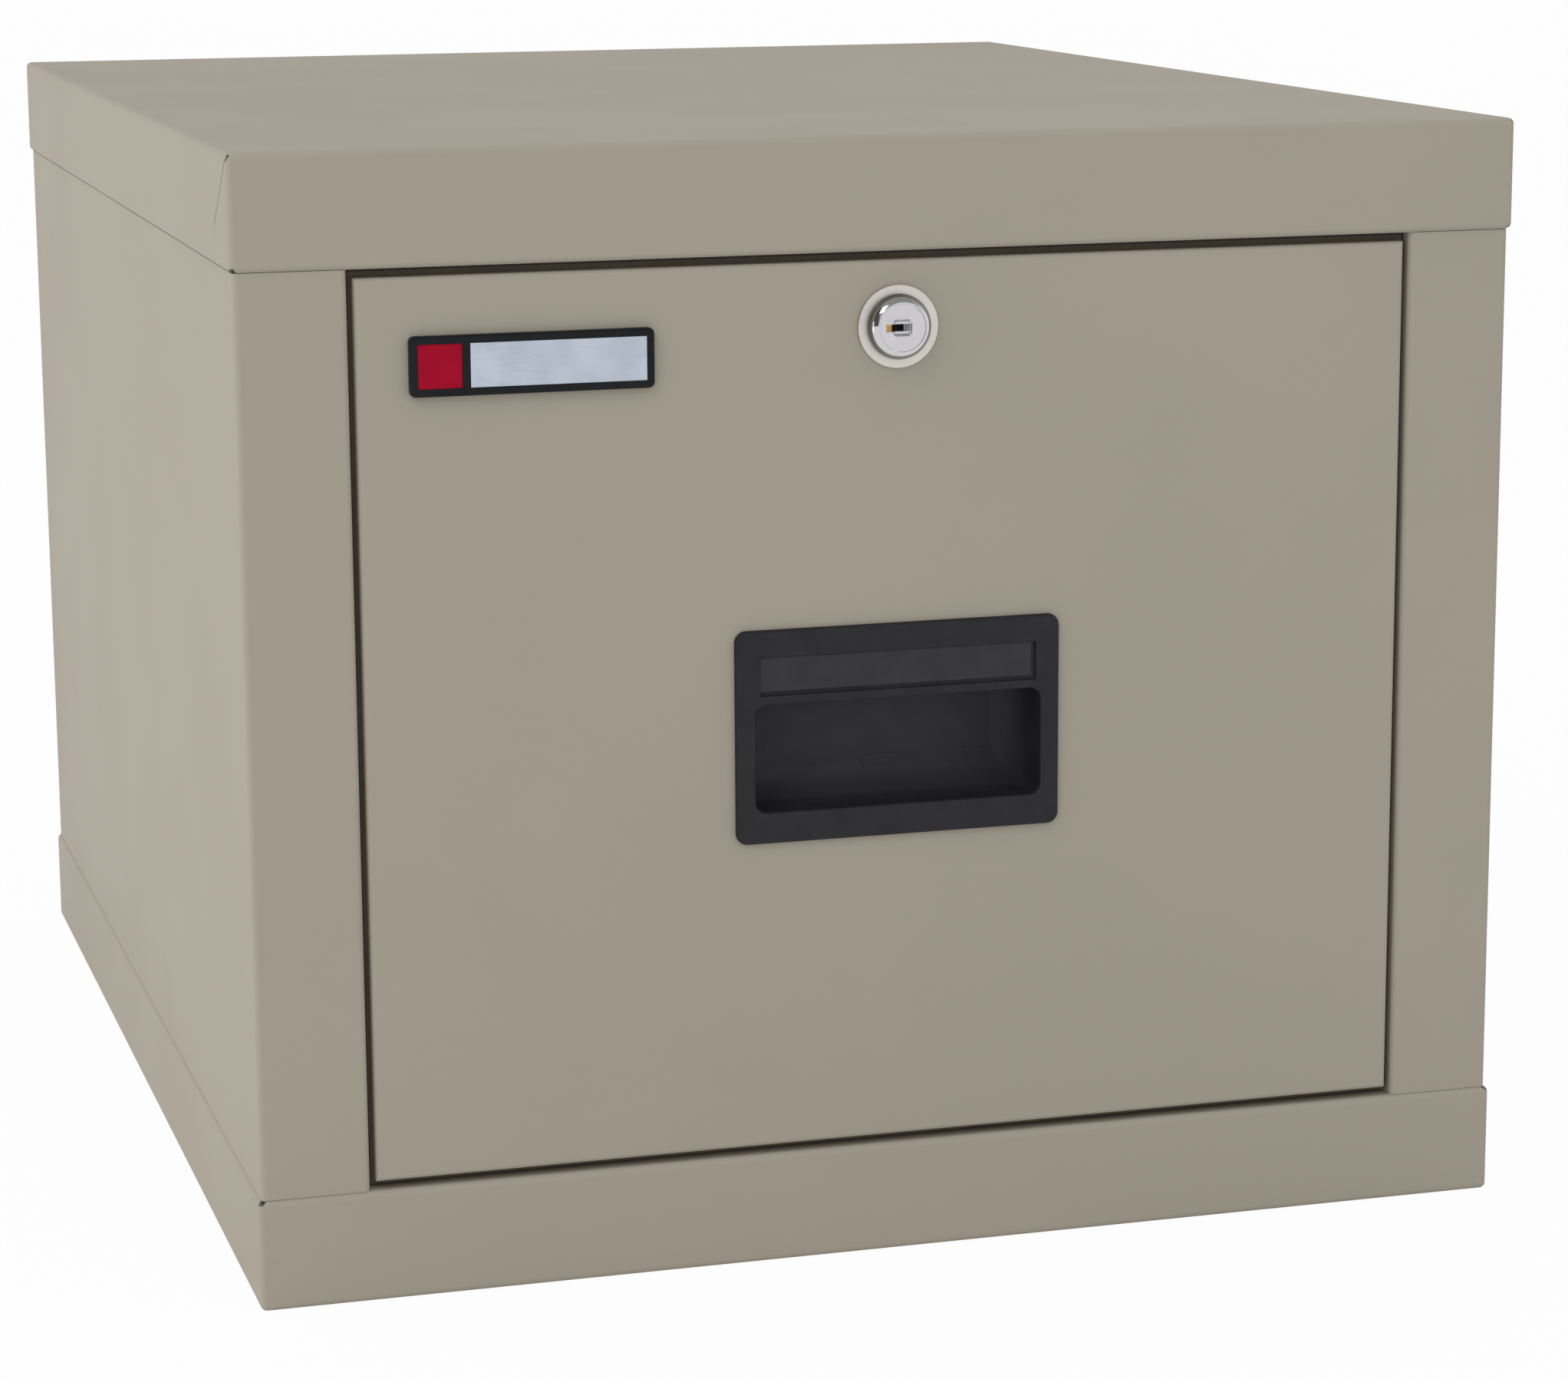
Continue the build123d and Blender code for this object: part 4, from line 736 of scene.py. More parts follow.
@dataclass(frozen=True)
class FibreTape(Finish):
    """Braided heat-proof tape.

    Attributes:
        colour: The colour of the yarn.
        gap: The colour between the yarns.
        faded: The colour that the yarn drifts to.
        pitch: Distance between the yarns.
        yarn_depth: How deep the gaps between the yarns look.
    """

    colour: Colour
    gap: Colour
    faded: Colour
    pitch: float = 1.6 * MM
    yarn_depth: float = 0.3 * MM

    def shade(self, coat: Coat) -> None:
        """Lays the tape on the shader.

        Args:
            coat: The material's nodes.
        """
        braid = coat.use(Effect.BRAID, pitch=self.pitch)
        tone = coat.use(Effect.TONE, first=self.colour, second=self.faded, size=0.02, amount=0.6)
        coat.lay(
            {
                "Base Color": coat.blend(braid["Mask"], self.gap, tone["Colour"]),
                "Roughness": coat.spread(braid["Mask"], floor=0.95, roof=0.8),
                "Sheen Weight": 0.3,
            }
        )
        coat.bump(braid["Height"], self.yarn_depth)


@dataclass(frozen=True)
class Palette:
    """Every finish of the cabinet.

    Attributes:
        lock_axis: A point on the lock's axis, for the turned finishes.
        bezel: Where along Y the bezel has its crown and its foot.
        pocket: Where along Y the pull has its rim and the back of its pocket.
        tarnish_margins: How far the bezel's painted shade keeps from its crown and its foot.
        handled_margins: How far the painted light keeps from the pull's rim and the pocket's back.
    """

    lock_axis: Place
    bezel: Pair
    pocket: Pair
    tarnish_margins: Pair = (1.2 * MM, 2.2 * MM)
    handled_margins: Pair = (4 * MM, 8 * MM)

    @staticmethod
    def inside(span: Pair, margins: Pair) -> Pair:
        """Draws a span in at both ends."""
        return span[0] + margins[0], span[1] - margins[1]

    def finishes(self) -> dict[str, Finish]:
        """Mixes every finish.

        Returns:
            The finishes by the record's slot names.
        """
        axis = self.lock_axis
        finishes: tuple[Finish, ...] = (
            Enamel("case enamel", "case_paint", paint(174, 166, 152), paint(170, 162, 149)),
            Enamel("drawer enamel", "front_paint", paint(174, 166, 152), paint(170, 162, 149)),
            Enamel(
                "liner enamel", "liner_paint", paint(170, 163, 150), paint(164, 158, 146),
                roughness=0.5, peel=1.6 * MM, wear=0.5, dust=0.1,
            ),
            CastFilling(
                "cast filling", "cast_filling", paint(205, 200, 188), paint(186, 180, 166),
                paint(224, 214, 182),
            ),
            SheetMetal(
                "mill steel", "bare_steel", paint(150, 152, 155), paint(118, 116, 112),
                roughness=0.42,
            ),
            SheetMetal("zinc plate", "zinc", paint(172, 176, 182), paint(146, 150, 152)),
            TurnedMetal(
                "bearing steel", "ball_steel", paint(200, 202, 205), paint(184, 186, 190), axis,
                roughness=0.08, pitch=0.6 * MM,
            ),
            FibreTape(
                "seal tape", "seal_fibre", paint(226, 220, 204), paint(158, 150, 132),
                paint(206, 196, 172),
            ),
            Moulding(
                "black moulding", "black_moulding", paint(42, 42, 45), paint(38, 38, 41), gloss=0.2,
                # Painted light deep inside the pull's pocket.
                handled=paint(60, 60, 64),
                handled_span=self.inside(self.pocket, self.handled_margins),
            ),
            Moulding(
                "label sheet", "label_plastic", paint(54, 53, 58), paint(50, 49, 53),
                roughness=0.42, grain=0.2 * MM, grain_depth=5 * MICRON, gloss=0.2,
            ),
            Moulding(
                "nameplate base", "plate_black", paint(28, 31, 34), paint(24, 27, 30),
                roughness=0.35, grain=0.2 * MM, grain_depth=4 * MICRON, gloss=0.12,
            ),
            SheetMetal(
                "nameplate foil", "plate_silver", paint(194, 203, 215), paint(187, 196, 208),
                roughness=0.34, squeeze=(0.02, 1.0, 1.0), line=0.15 * MM, line_depth=2 * MICRON,
            ),
            Moulding(
                "nameplate accent", "plate_red", paint(170, 12, 44), paint(160, 11, 40),
                roughness=0.3, grain=0.4 * MM, grain_depth=3 * MICRON, rub=0.1, gloss=0.06,
            ),
            TurnedMetal(
                "bezel chrome", "chrome", paint(206, 206, 209), paint(200, 200, 204), axis,
                # Painted shade on the bezel's lower wall.
                roughness=0.05, ring_depth=0.2 * MICRON, tarnish=paint(112, 110, 107),
                tarnish_span=self.inside(self.bezel, self.tarnish_margins),
            ),
            TurnedMetal(
                "rose nickel", "nickel", paint(218, 214, 207), paint(212, 207, 200), axis,
                roughness=0.42,
            ),
            TurnedMetal(
                "plug nickel", "plug_nickel", paint(212, 210, 215), paint(206, 204, 209), axis,
                roughness=0.36,
            ),
            SheetMetal(
                "tumbler brass", "brass", paint(190, 154, 100), paint(166, 130, 78),
                roughness=0.28, squeeze=(1.0, 0.1, 0.1), line=0.1 * MM, patch=1.5 * MM,
            ),
            SheetMetal(
                "screw steel", "screw_steel", paint(160, 162, 166), paint(132, 132, 130),
                roughness=0.3, squeeze=(1.0, 1.0, 0.2), line=0.2 * MM, patch=2 * MM,
            ),
        )
        return {finish.slot: finish for finish in finishes}


def put_in_scene(name: str, data: bpy.types.ID) -> bpy.types.Object:
    """Makes an object of a mesh, a lamp or a camera and puts it in the scene.

    Args:
        name: The object's name.
        data: What it is made of.

    Returns:
        The object.
    """
    made = bpy.data.objects.new(name, data)
    bpy.context.scene.collection.objects.link(made)
    return made


@dataclass
class Store:
    """What every sub-assembly needs to dress its pieces.

    Attributes:
        frame: The loaded frame.
        finishes: Every finish by slot name.
        workshop: Where the shared effects come from.
    """

    frame: dict
    finishes: dict[str, Finish]
    workshop: Workshop

    def dress(self, nodes: Iterable[str]) -> None:
        """Puts on each CAD node the finish that the record names for it.

        Args:
            nodes: The names of the nodes.
        """
        slots = {row["node"]: row["material_slot"] for row in self.frame["record"]["subparts"]}
        for node in nodes:
            shape = self.frame["nodes"][node]
            finish = self.finishes[slots[node]]
            shape.data.materials.clear()
            shape.data.materials.append(finish.material(self.workshop))
            LOG.info("%s wears %s", node, finish.name)

    def body_of(self, node: str) -> str:
        """Finds the body that a CAD node belongs to."""
        bodies = self.frame["record"]["behaviour"]["bodies"]
        return next(body for body, nodes in bodies.items() if node in nodes)

    def piece(
        self,
        name: str,
        mesh: bpy.types.Mesh,
        slot: str,
        body: str,
        stands_for: str | None = None,
        smooth: float = 40.0,
        finish: Finish | None = None,
    ) -> None:
        """Turns a mesh into a dressed piece that rides on a body.

        Args:
            name: The piece's name.
            mesh: Its mesh, in the frame's coordinates.
            slot: The record's slot that it takes its finish from.
            body: The body that it moves with.
            stands_for: The CAD node that it replaces, if it does.
            smooth: Edges that turn by more than this many degrees stay sharp.
            finish: Its own finish, where it isn't the slot's.
        """
        made = put_in_scene(name, mesh)
        mesh.materials.append((finish or self.finishes[slot]).material(self.workshop))
        mesh.shade_smooth()
        mesh.set_sharp_from_angle(angle=math.radians(smooth))
        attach(made, body)
        if stands_for:
            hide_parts(stands_for)
        LOG.info("%s built with %d faces", name, len(mesh.polygons))


def mesh_of(name: str, points: Sequence[Vector], faces: Sequence[Sequence[int]]) -> bpy.types.Mesh:
    """Makes a mesh of points and faces.

    Args:
        name: The mesh's name.
        points: Its points.
        faces: Its faces, by point number.

    Returns:
        The mesh.
    """
    mesh = bpy.data.meshes.new(name)
    mesh.from_pydata([tuple(point) for point in points], [], [tuple(face) for face in faces])
    mesh.validate()
    mesh.update()
    return mesh


def loop_faces(first: int, rows: int, columns: int, close_rows: bool) -> list[tuple[int, ...]]:
    """Joins rows of points into quads, each row closed on itself.

    Args:
        first: Number of the first point.
        rows: How many rows there are.
        columns: How many points a row has.
        close_rows: Whether the last row joins the first one.

    Returns:
        The faces.
    """
    faces = []
    for row in range(rows if close_rows else rows - 1):
        here = first + row * columns
        there = first + (row + 1) % rows * columns
        for column in range(columns):
            beside = (column + 1) % columns
            faces.append((here + column, here + beside, there + beside, there + column))
    return faces


@dataclass(frozen=True)
class SolidSpan:
    """One solid of a CAD node, found from its points.

    Attributes:
        points: The solid's points.
    """

    points: tuple[Vector, ...]

    @staticmethod
    def of(shape: bpy.types.Object) -> list[SolidSpan]:
        """Splits a node's mesh into its separate solids.

        Args:
            shape: The node's object.

        Returns:
            One span for each solid, in the order of their places.
        """
        mesh, weld = shape.data, 10 * MICRON
        seats: dict[tuple[int, ...], int] = {}
        owner: list[int] = []

        def root(seat: int) -> int:
            """Follows a seat to the one that stands for its solid.

            Args:
                seat: Number of the seat.

            Returns:
                Number of the seat that stands for the solid.
            """
            while owner[seat] != seat:
                owner[seat] = owner[owner[seat]]
                seat = owner[seat]
            return seat

        seat_of = []
        for vertex in mesh.vertices:
            key = tuple(round(part / weld) for part in vertex.co)
            if key not in seats:
                seats[key] = len(owner)
                owner.append(len(owner))
            seat_of.append(seats[key])
        for edge in mesh.edges:
            start, end = (root(seat_of[number]) for number in edge.vertices)
            owner[start] = end
        solids: dict[int, list[Vector]] = {}
        for vertex, seat in zip(mesh.vertices, seat_of):
            solids.setdefault(root(seat), []).append(vertex.co.copy())
        spans = [SolidSpan(tuple(points)) for points in solids.values()]
        return sorted(spans, key=lambda span: tuple(round(part, 4) for part in span.centre()))

    def low(self) -> Vector:
        """Gives the lowest corner."""
        return Vector(min(point[axis] for point in self.points) for axis in range(3))

    def high(self) -> Vector:
        """Gives the highest corner."""
        return Vector(max(point[axis] for point in self.points) for axis in range(3))

    def centre(self) -> Vector:
        """Gives the middle of the box round the solid."""
        return (self.low() + self.high()) / 2


@dataclass(frozen=True)
class CrossHeadScrew:
    """A driven screw with a domed head, a cross recess and a pointed shank.

    Attributes:
        head_radius: Radius of the head.
        head_height: Height of the head.
        shank_radius: Radius of the shank.
        shank_length: Length below the head.
        dome: How much of its height the head loses at the rim, and how late it falls.
        arm: Half width and reach of the cross, as shares of the head's radius.
        slope: How much of an arm's half width and reach its walls and ends slope over.
        sink: Depth of the cross, as a share of the head's height.
        tip: Where the point starts and how blunt it is, as shares of the shank.
        rings: Rings of points on the face of the head.
        spokes: Points round each ring.
    """

    head_radius: float
    head_height: float
    shank_radius: float
    shank_length: float
    dome: Pair = (0.5, 3.4)
    arm: Pair = (0.13, 0.6)
    slope: Pair = (0.6, 0.45)
    sink: float = 0.62
    tip: Pair = (0.75, 0.25)
    rings: int = 16
    spokes: int = 48

    @classmethod
    def fitted(cls, span: SolidSpan, axis: int) -> tuple[CrossHeadScrew, Vector, Vector]:
        """Measures a plain CAD screw.

        Args:
            span: The CAD screw.
            axis: The axis that it lies along, 0 to 2.

        Returns:
            The screw of the same size, the middle of its head's seat, and the way its head faces.
        """
        rim_share = 0.97
        centre = span.centre()
        across = [index for index in range(3) if index != axis]
        reach = [
            math.hypot(*(point[index] - centre[index] for index in across)) for point in span.points
        ]
        widest = max(reach)
        placed = [(point[axis], far) for point, far in zip(span.points, reach)]
        rim = [place for place, far in placed if far > rim_share * widest]
        low, high = min(rim), max(rim)
        stem = [far for place, far in placed if not low - MICRON < place < high + MICRON]
        facing = Vector((0.0, 0.0, 0.0))
        facing[axis] = 1.0 if (low + high) / 2 > centre[axis] else -1.0
        seat = centre.copy()
        seat[axis] = low if facing[axis] > 0 else high
        length = (span.high() - span.low())[axis] - (high - low)
        return cls(widest, high - low, max(stem), length), seat, facing

    def recess(self, x: float, y: float) -> float:
        """Gives how deep the cross is cut at a point on the head.

        Args:
            x: Place along one arm.
            y: Place along the other arm.

        Returns:
            The depth in metres.
        """
        half_width, reach = (share * self.head_radius for share in self.arm)
        wall_slope, end_slope = self.slope
        depth = 0.0
        for along, aside in ((x, y), (y, x)):
            wall = held(((1 + wall_slope) * half_width - abs(aside)) / (wall_slope * half_width))
            end = held((reach - abs(along)) / (end_slope * reach))
            depth = max(depth, wall * end)
        return self.sink * self.head_height * depth

    def points(self) -> list[Vector]:
        """Lays out the screw's points, with the seat of its head at the origin.

        Returns:
            Its face ring by ring, then the rim, the top and bottom of the shank, and the tip.
        """
        fall, lateness = self.dome
        tip_start, tip_width = self.tip
        turned = [2 * math.pi * spoke / self.spokes for spoke in range(self.spokes)]
        points = []
        for ring in range(1, self.rings + 1):
            radius = self.head_radius * ring / self.rings
            dome = self.head_height * (1 - fall * (ring / self.rings) ** lateness)
            for angle in turned:
                x, y = radius * math.cos(angle), radius * math.sin(angle)
                points.append(Vector((x, y, dome - self.recess(x, y))))
        outline = (
            (self.head_radius, 0.0),
            (self.shank_radius, 0.0),
            (self.shank_radius, -tip_start * self.shank_length),
            (tip_width * self.shank_radius, -self.shank_length),
        )
        for radius, height in outline:
            points += [Vector((radius * math.cos(a), radius * math.sin(a), height)) for a in turned]
        return points

    def add_to(
        self,
        points: list[Vector],
        faces: list[tuple[int, ...]],
        seat: Vector,
        facing: Vector,
        turn: float,
    ) -> None:
        """Adds the screw to a mesh that is being made.

        Args:
            points: The mesh's points so far.
            faces: The mesh's faces so far.
            seat: Middle of the head's seat.
            facing: The way the head faces.
            turn: How far the cross is turned, in radians.
        """
        first = len(points)
        move = (
            Matrix.Translation(seat)
            @ facing.to_track_quat("Z", "Y").to_matrix().to_4x4()
            @ Matrix.Rotation(turn, 4, "Z")
        )
        points += [move @ point for point in self.points()]
        crown = len(points)
        rows = (crown - first) // self.spokes
        faces += [face[::-1] for face in loop_faces(first, rows, self.spokes, False)]
        points.append(move @ Vector((0, 0, self.head_height - self.recess(0, 0))))
        points.append(move @ Vector((0, 0, -self.shank_length)))
        last = crown - self.spokes
        for spoke in range(self.spokes):
            beside = (spoke + 1) % self.spokes
            faces.append((crown, first + spoke, first + beside))
            faces.append((crown + 1, last + beside, last + spoke))


@dataclass
class ScrewSet:
    """Screws that stand in for one CAD node of plain screws.

    Attributes:
        store: Finishes and frame.
        node: The CAD node.
        axis: The axis that the screws lie along.
        first_turn: How far the first cross is turned, in radians.
        next_turn: How much further each next cross is turned.
    """

    store: Store
    node: str
    axis: int
    first_turn: float = 0.4
    next_turn: float = 2.4

    def build(self) -> None:
        """Builds every screw of the set as one piece."""
        points: list[Vector] = []
        faces: list[tuple[int, ...]] = []
        for number, span in enumerate(SolidSpan.of(self.store.frame["nodes"][self.node])):
            screw, seat, facing = CrossHeadScrew.fitted(span, self.axis)
            turn = self.first_turn + self.next_turn * number
            screw.add_to(points, faces, seat, facing, turn)
        name, body = f"{self.node}_cross", self.store.body_of(self.node)
        mesh = mesh_of(name, points, faces)
        self.store.piece(name, mesh, "screw_steel", body, self.node, smooth=35.0)


@dataclass
class Assembly:
    """A sub-assembly of CAD nodes, some of them plain screws that are built with real heads.

    Attributes:
        store: Finishes and frame.
        nodes: The CAD nodes that keep their shapes.
        screws: The CAD nodes of plain screws, each with the axis that they lie along.
    """

    store: Store
    nodes: tuple[str, ...] = ()
    screws: tuple[tuple[str, int], ...] = ()

    def build(self) -> None:
        """Dresses the nodes and builds the screws."""
        self.store.dress(self.nodes)
        for node, axis in self.screws:
            ScrewSet(self.store, node, axis).build()


@dataclass
class Case(Assembly):
    """The folded steel case with its cast filling and the strike for the lock."""

    nodes: tuple[str, ...] = (
        "top_cap", "outer_wrapper", "base_pan", "header_plate", "sill_plate", "strike_box",
        "cabinet_insulation", "compartment_liner",
    )


@dataclass
class Slides(Assembly):
    """The pair of ball-bearing slides with their screws."""

    nodes: tuple[str, ...] = (
        "slide_outer_left", "slide_outer_right", "slide_middle_left", "slide_middle_right",
        "slide_inner_left", "slide_inner_right", "outer_ball_cages", "inner_ball_cages",
        "outer_balls", "inner_balls",
    )
    screws: tuple[tuple[str, int], ...] = (("slide_cabinet_screws", 0), ("slide_drawer_screws", 0))


@dataclass
class HeatSeal:
    """A braided tape seal that runs round the back of the drawer head.

    Attributes:
        store: Finishes and frame.
        width: Width of the tape.
        clearance: How far the tape keeps from the edge of its CAD ring.
        corner: Radius of its middle line at the corners.
        step: Distance between the points along it.
        crown: Points across its rounded face.
        fullness: How round its section is at the sides and on top: 1 is a circle, less is squarer.
        yarn: Length of one yarn crossing.
        yarn_rise: How far the yarns stand out.
    """

    store: Store
    width: float = 9.4 * MM
    clearance: float = 0.2 * MM
    corner: float = 7.5 * MM
    step: float = 0.8 * MM
    crown: int = 17
    fullness: Pair = (0.55, 0.75)
    yarn: float = 3.2 * MM
    yarn_rise: float = 0.18 * MM

    def line(self, half_x: float, half_z: float) -> list[tuple[Vector, Vector]]:
        """Walks once round the tape's middle line.

        Args:
            half_x: Half the width of the rectangle that it follows.
            half_z: Half the height of the rectangle that it follows.

        Returns:
            Places and outward directions in the XZ plane, evenly spaced.
        """
        walk = []
        corners = ((1, 1, 0.0), (-1, 1, 0.5), (-1, -1, 1.0), (1, -1, 1.5))
        turns = max(2, round(self.corner * math.pi / 2 / self.step))
        for number, (side_x, side_z, start) in enumerate(corners):
            middle = Vector((side_x * (half_x - self.corner), 0, side_z * (half_z - self.corner)))
            for turn in range(turns + 1):
                angle = math.pi * (start + 0.5 * turn / turns)
                out = Vector((math.cos(angle), 0, math.sin(angle)))
                walk.append((middle + self.corner * out, out))
            run = 2 * ((half_x if number % 2 == 0 else half_z) - self.corner)
            steps = round(run / self.step)
            place, out = walk[-1]
            ahead = Vector((-out.z, 0, out.x))
            walk += [(place + ahead * run * (done / steps), out) for done in range(1, steps)]
        return walk

    def section(self, along: float, angle: float, half_depth: float) -> Pair:
        """Gives a point of the tape's section, with the yarns that stand out of it.

        Args:
            along: Distance along the tape.
            angle: Place round the section, in radians.
            half_depth: Half the depth of the tape.

        Returns:
            How far it lies outwards from the middle line, and how far behind the middle plane.
        """
        across, rise = math.cos(angle), math.sin(angle)
        side_power, top_power = self.fullness
        wide = math.copysign(abs(across) ** side_power, across) * self.width / 2
        tall = math.copysign(abs(rise) ** top_power, rise)
        crossings = (math.pi * (along + wide) / self.yarn, math.pi * (along - wide) / self.yarn)
        sink = self.yarn_rise * (1 - max(abs(math.sin(crossing)) for crossing in crossings))
        lift = (half_depth - sink if tall > 0 else half_depth) * tall
        return wide - math.copysign(sink, wide), lift

    def build(self) -> None:
        """Builds the tape in the space of its CAD ring."""
        low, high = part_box("heat_seal")
        centre, half_depth = (low + high) / 2, (high.y - low.y) / 2
        half_x = (high.x - low.x) / 2 - self.width / 2 - self.clearance
        half_z = (high.z - low.z) / 2 - self.width / 2 - self.clearance
        walk = self.line(half_x, half_z)
        around = 2 * (self.crown - 1)
        points = []
        for number, (place, out) in enumerate(walk):
            for spoke in range(around):
                angle = 2 * math.pi * spoke / around
                wide, lift = self.section(number * self.step, angle, half_depth)
                spot = place + out * wide
                points.append(Vector((centre.x + spot.x, centre.y + lift, centre.z + spot.z)))
        mesh = mesh_of("heat_seal_tape", points, loop_faces(0, len(walk), around, True))
        self.store.piece("heat_seal_tape", mesh, "seal_fibre", "drawer", "heat_seal", smooth=75.0)


@dataclass
class GapShadeStrip:
    """A dark strip round the edge of the drawer head, a little behind its face, as painted shade in
    the gaps.

    Attributes:
        store: Finishes and frame.
        felt: The finish of the strip, a brownish dark for the painted shade in the gaps.
        setback: Distance from the face to the strip.
        width: Width of the strip.
        rise: Thickness of the strip at the sides, and above and below.
        shoulder: Its thickness at its edges, as a share of the full thickness.
        nap: How far its outer face waves.
        wave: How far the wave turns from one point to the next, in radians.
        step: Distance between the points along it.
        across: Points over its outer face.
    """

    store: Store
    felt: Finish = FibreTape(
        "gap shade felt", "seal_fibre", paint(100, 92, 78), paint(70, 63, 52), paint(90, 82, 68),
        pitch=0.5 * MM, yarn_depth=0.1 * MM,
    )
    setback: float = 5.0 * MM
    width: float = 9.0 * MM
    rise: Pair = (1.6 * MM, 2.4 * MM)
    shoulder: float = 0.8
    nap: float = 0.12 * MM
    wave: float = 2.4
    step: float = 2.0 * MM
    across: int = 9

    def line(self, low: Vector, high: Vector) -> list[tuple[float, float, float, float]]:
        """Walks once round the edge of the head.

        Args:
            low: The head's lowest corner.
            high: The head's highest corner.

        Returns:
            X and Z of each point, and which way along each of them is outwards: -1, 0 or 1.
        """
        walk = []
        middle = (low + high) / 2
        corners = [(low.x, low.z), (high.x, low.z), (high.x, high.z), (low.x, high.z)]
        for (x, z), (next_x, next_z) in zip(corners, corners[1:] + corners[:1]):
            steps = max(1, round(math.dist((x, z), (next_x, next_z)) / self.step))
            for place in range(steps):
                share = place / steps
                side_x = 0.0 if place and x != next_x else math.copysign(1.0, x - middle.x)
                side_z = 0.0 if place and z != next_z else math.copysign(1.0, z - middle.z)
                walk.append((x + (next_x - x) * share, z + (next_z - z) * share, side_x, side_z))
        return walk

    def build(self) -> None:
        """Builds the strip round the head's edge."""
        low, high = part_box("drawer_front_panel")
        front = low.y + self.setback
        walk = self.line(low, high)
        points = []
        for number, (x, z, side_x, side_z) in enumerate(walk):
            points += [Vector((x, front + self.width, z)), Vector((x, front, z))]
            for row in range(self.across):
                share = row / (self.across - 1)
                bulge = math.sin(math.pi * share)
                crown = self.shoulder + (1 - self.shoulder) * bulge**0.5
                dip = abs(self.nap * math.sin(self.wave * number) * bulge)
                out_x, out_z = (thickness * crown - dip for thickness in self.rise)
                y = front + self.width * share
                points.append(Vector((x + side_x * out_x, y, z + side_z * out_z)))
        # The strip is painted shade: a dark sheet that fills the gaps round the drawer.
        mesh = mesh_of("gap_shade_strip", points, loop_faces(0, len(walk), self.across + 2, True))
        self.store.piece("gap_shade_strip", mesh, "seal_fibre", "drawer", finish=self.felt)


@dataclass
class DrawerHead(Assembly):
    """The thick insulated front of the drawer with its pull and its plain nameplate."""

    nodes: tuple[str, ...] = (
        "drawer_front_panel", "head_back_plate", "head_insulation", "pull_housing", "label_plate",
        "nameplate_base", "nameplate_field", "nameplate_accent",
    )

    def build(self) -> None:
        """Dresses the head and builds its seal and the strip of painted shade in its gaps."""
        super().build()
        HeatSeal(self.store).build()
        GapShadeStrip(self.store).build()


@dataclass
class DrawerBox(Assembly):
    """The steel tray behind the head, with the screws that hold it."""

    nodes: tuple[str, ...] = (
        "tray_floor", "tray_side_left", "tray_side_right", "tray_front", "drawer_back",
    )
    screws: tuple[tuple[str, int], ...] = (("tray_screws", 1),)


@dataclass
class Lock(Assembly):
    """The cam lock with its rose, domed bezel, turning plug, bolt and cam screw."""

    nodes: tuple[str, ...] = (
        "lock_rose", "lock_housing", "lock_nut", "lock_case", "lock_bolt", "lock_plug",
        "key_tumbler", "keyway_guard", "lock_cam",
    )
    screws: tuple[tuple[str, int], ...] = (("cam_screw", 1),)


@dataclass(frozen=True)
class Softbox:
    """A large soft lamp.

    Attributes:
        name: Its name.
        place: Where it stands.
        aim: The point that it faces.
        size: Its width and height.
        power: Its power in watts.
    """

    name: str
    place: Place
    aim: Place
    size: Pair
    power: float

    def build(self) -> None:
        """Places the lamp."""
        light = bpy.data.lights.new(self.name, "AREA")
        light.shape = "RECTANGLE"
        light.size, light.size_y = self.size
        light.energy = self.power
        lamp = put_in_scene(self.name, light)
        lamp.location = self.place
        aim = Vector(self.aim) - Vector(self.place)
        lamp.rotation_euler = aim.to_track_quat("-Z", "Y").to_euler()
        lamp.visible_camera = False


@dataclass(frozen=True)
class Viewpoint:
    """The camera, placed round the middle of the cabinet.

    Attributes:
        azimuth: Degrees round from the front, negative to the cabinet's left.
        elevation: Degrees above the horizon.
        roll: Degrees that it leans.
        distance: Metres from the point that it looks at.
        aside: The point that it looks at, from the middle of the cabinet.
        lens: Focal length in millimetres.
        sensor: Width of the sensor in millimetres.
        reach: Nearest and farthest distance that it sees.
    """

    azimuth: float = -16.150
    elevation: float = 11.493
    roll: float = -0.362
    distance: float = 1.7294
    aside: Place = (0.03406, -0.01968, -0.04635)
    lens: float = 98.373
    sensor: float = 36.0
    reach: Pair = (0.05, 60.0)

    def build(self, low: Vector, high: Vector) -> None:
        """Places the camera.

        Args:
            low: Lowest corner of the cabinet.
            high: Highest corner of the cabinet.
        """
        data = bpy.data.cameras.new("viewpoint")
        data.sensor_width = self.sensor
        data.lens = self.lens
        data.clip_start, data.clip_end = self.reach
        camera = put_in_scene("viewpoint", data)
        turn, rise = math.radians(self.azimuth), math.radians(self.elevation)
        back = Vector(
            (math.sin(turn) * math.cos(rise), -math.cos(turn) * math.cos(rise), math.sin(rise))
        )
        camera.location = (low + high) / 2 + Vector(self.aside) + back * self.distance
        camera.rotation_mode = "QUATERNION"
        lean = Matrix.Rotation(math.radians(self.roll), 3, "Z").to_quaternion()
        camera.rotation_quaternion = (-back).to_track_quat("-Z", "Y") @ lean
        bpy.context.scene.camera = camera


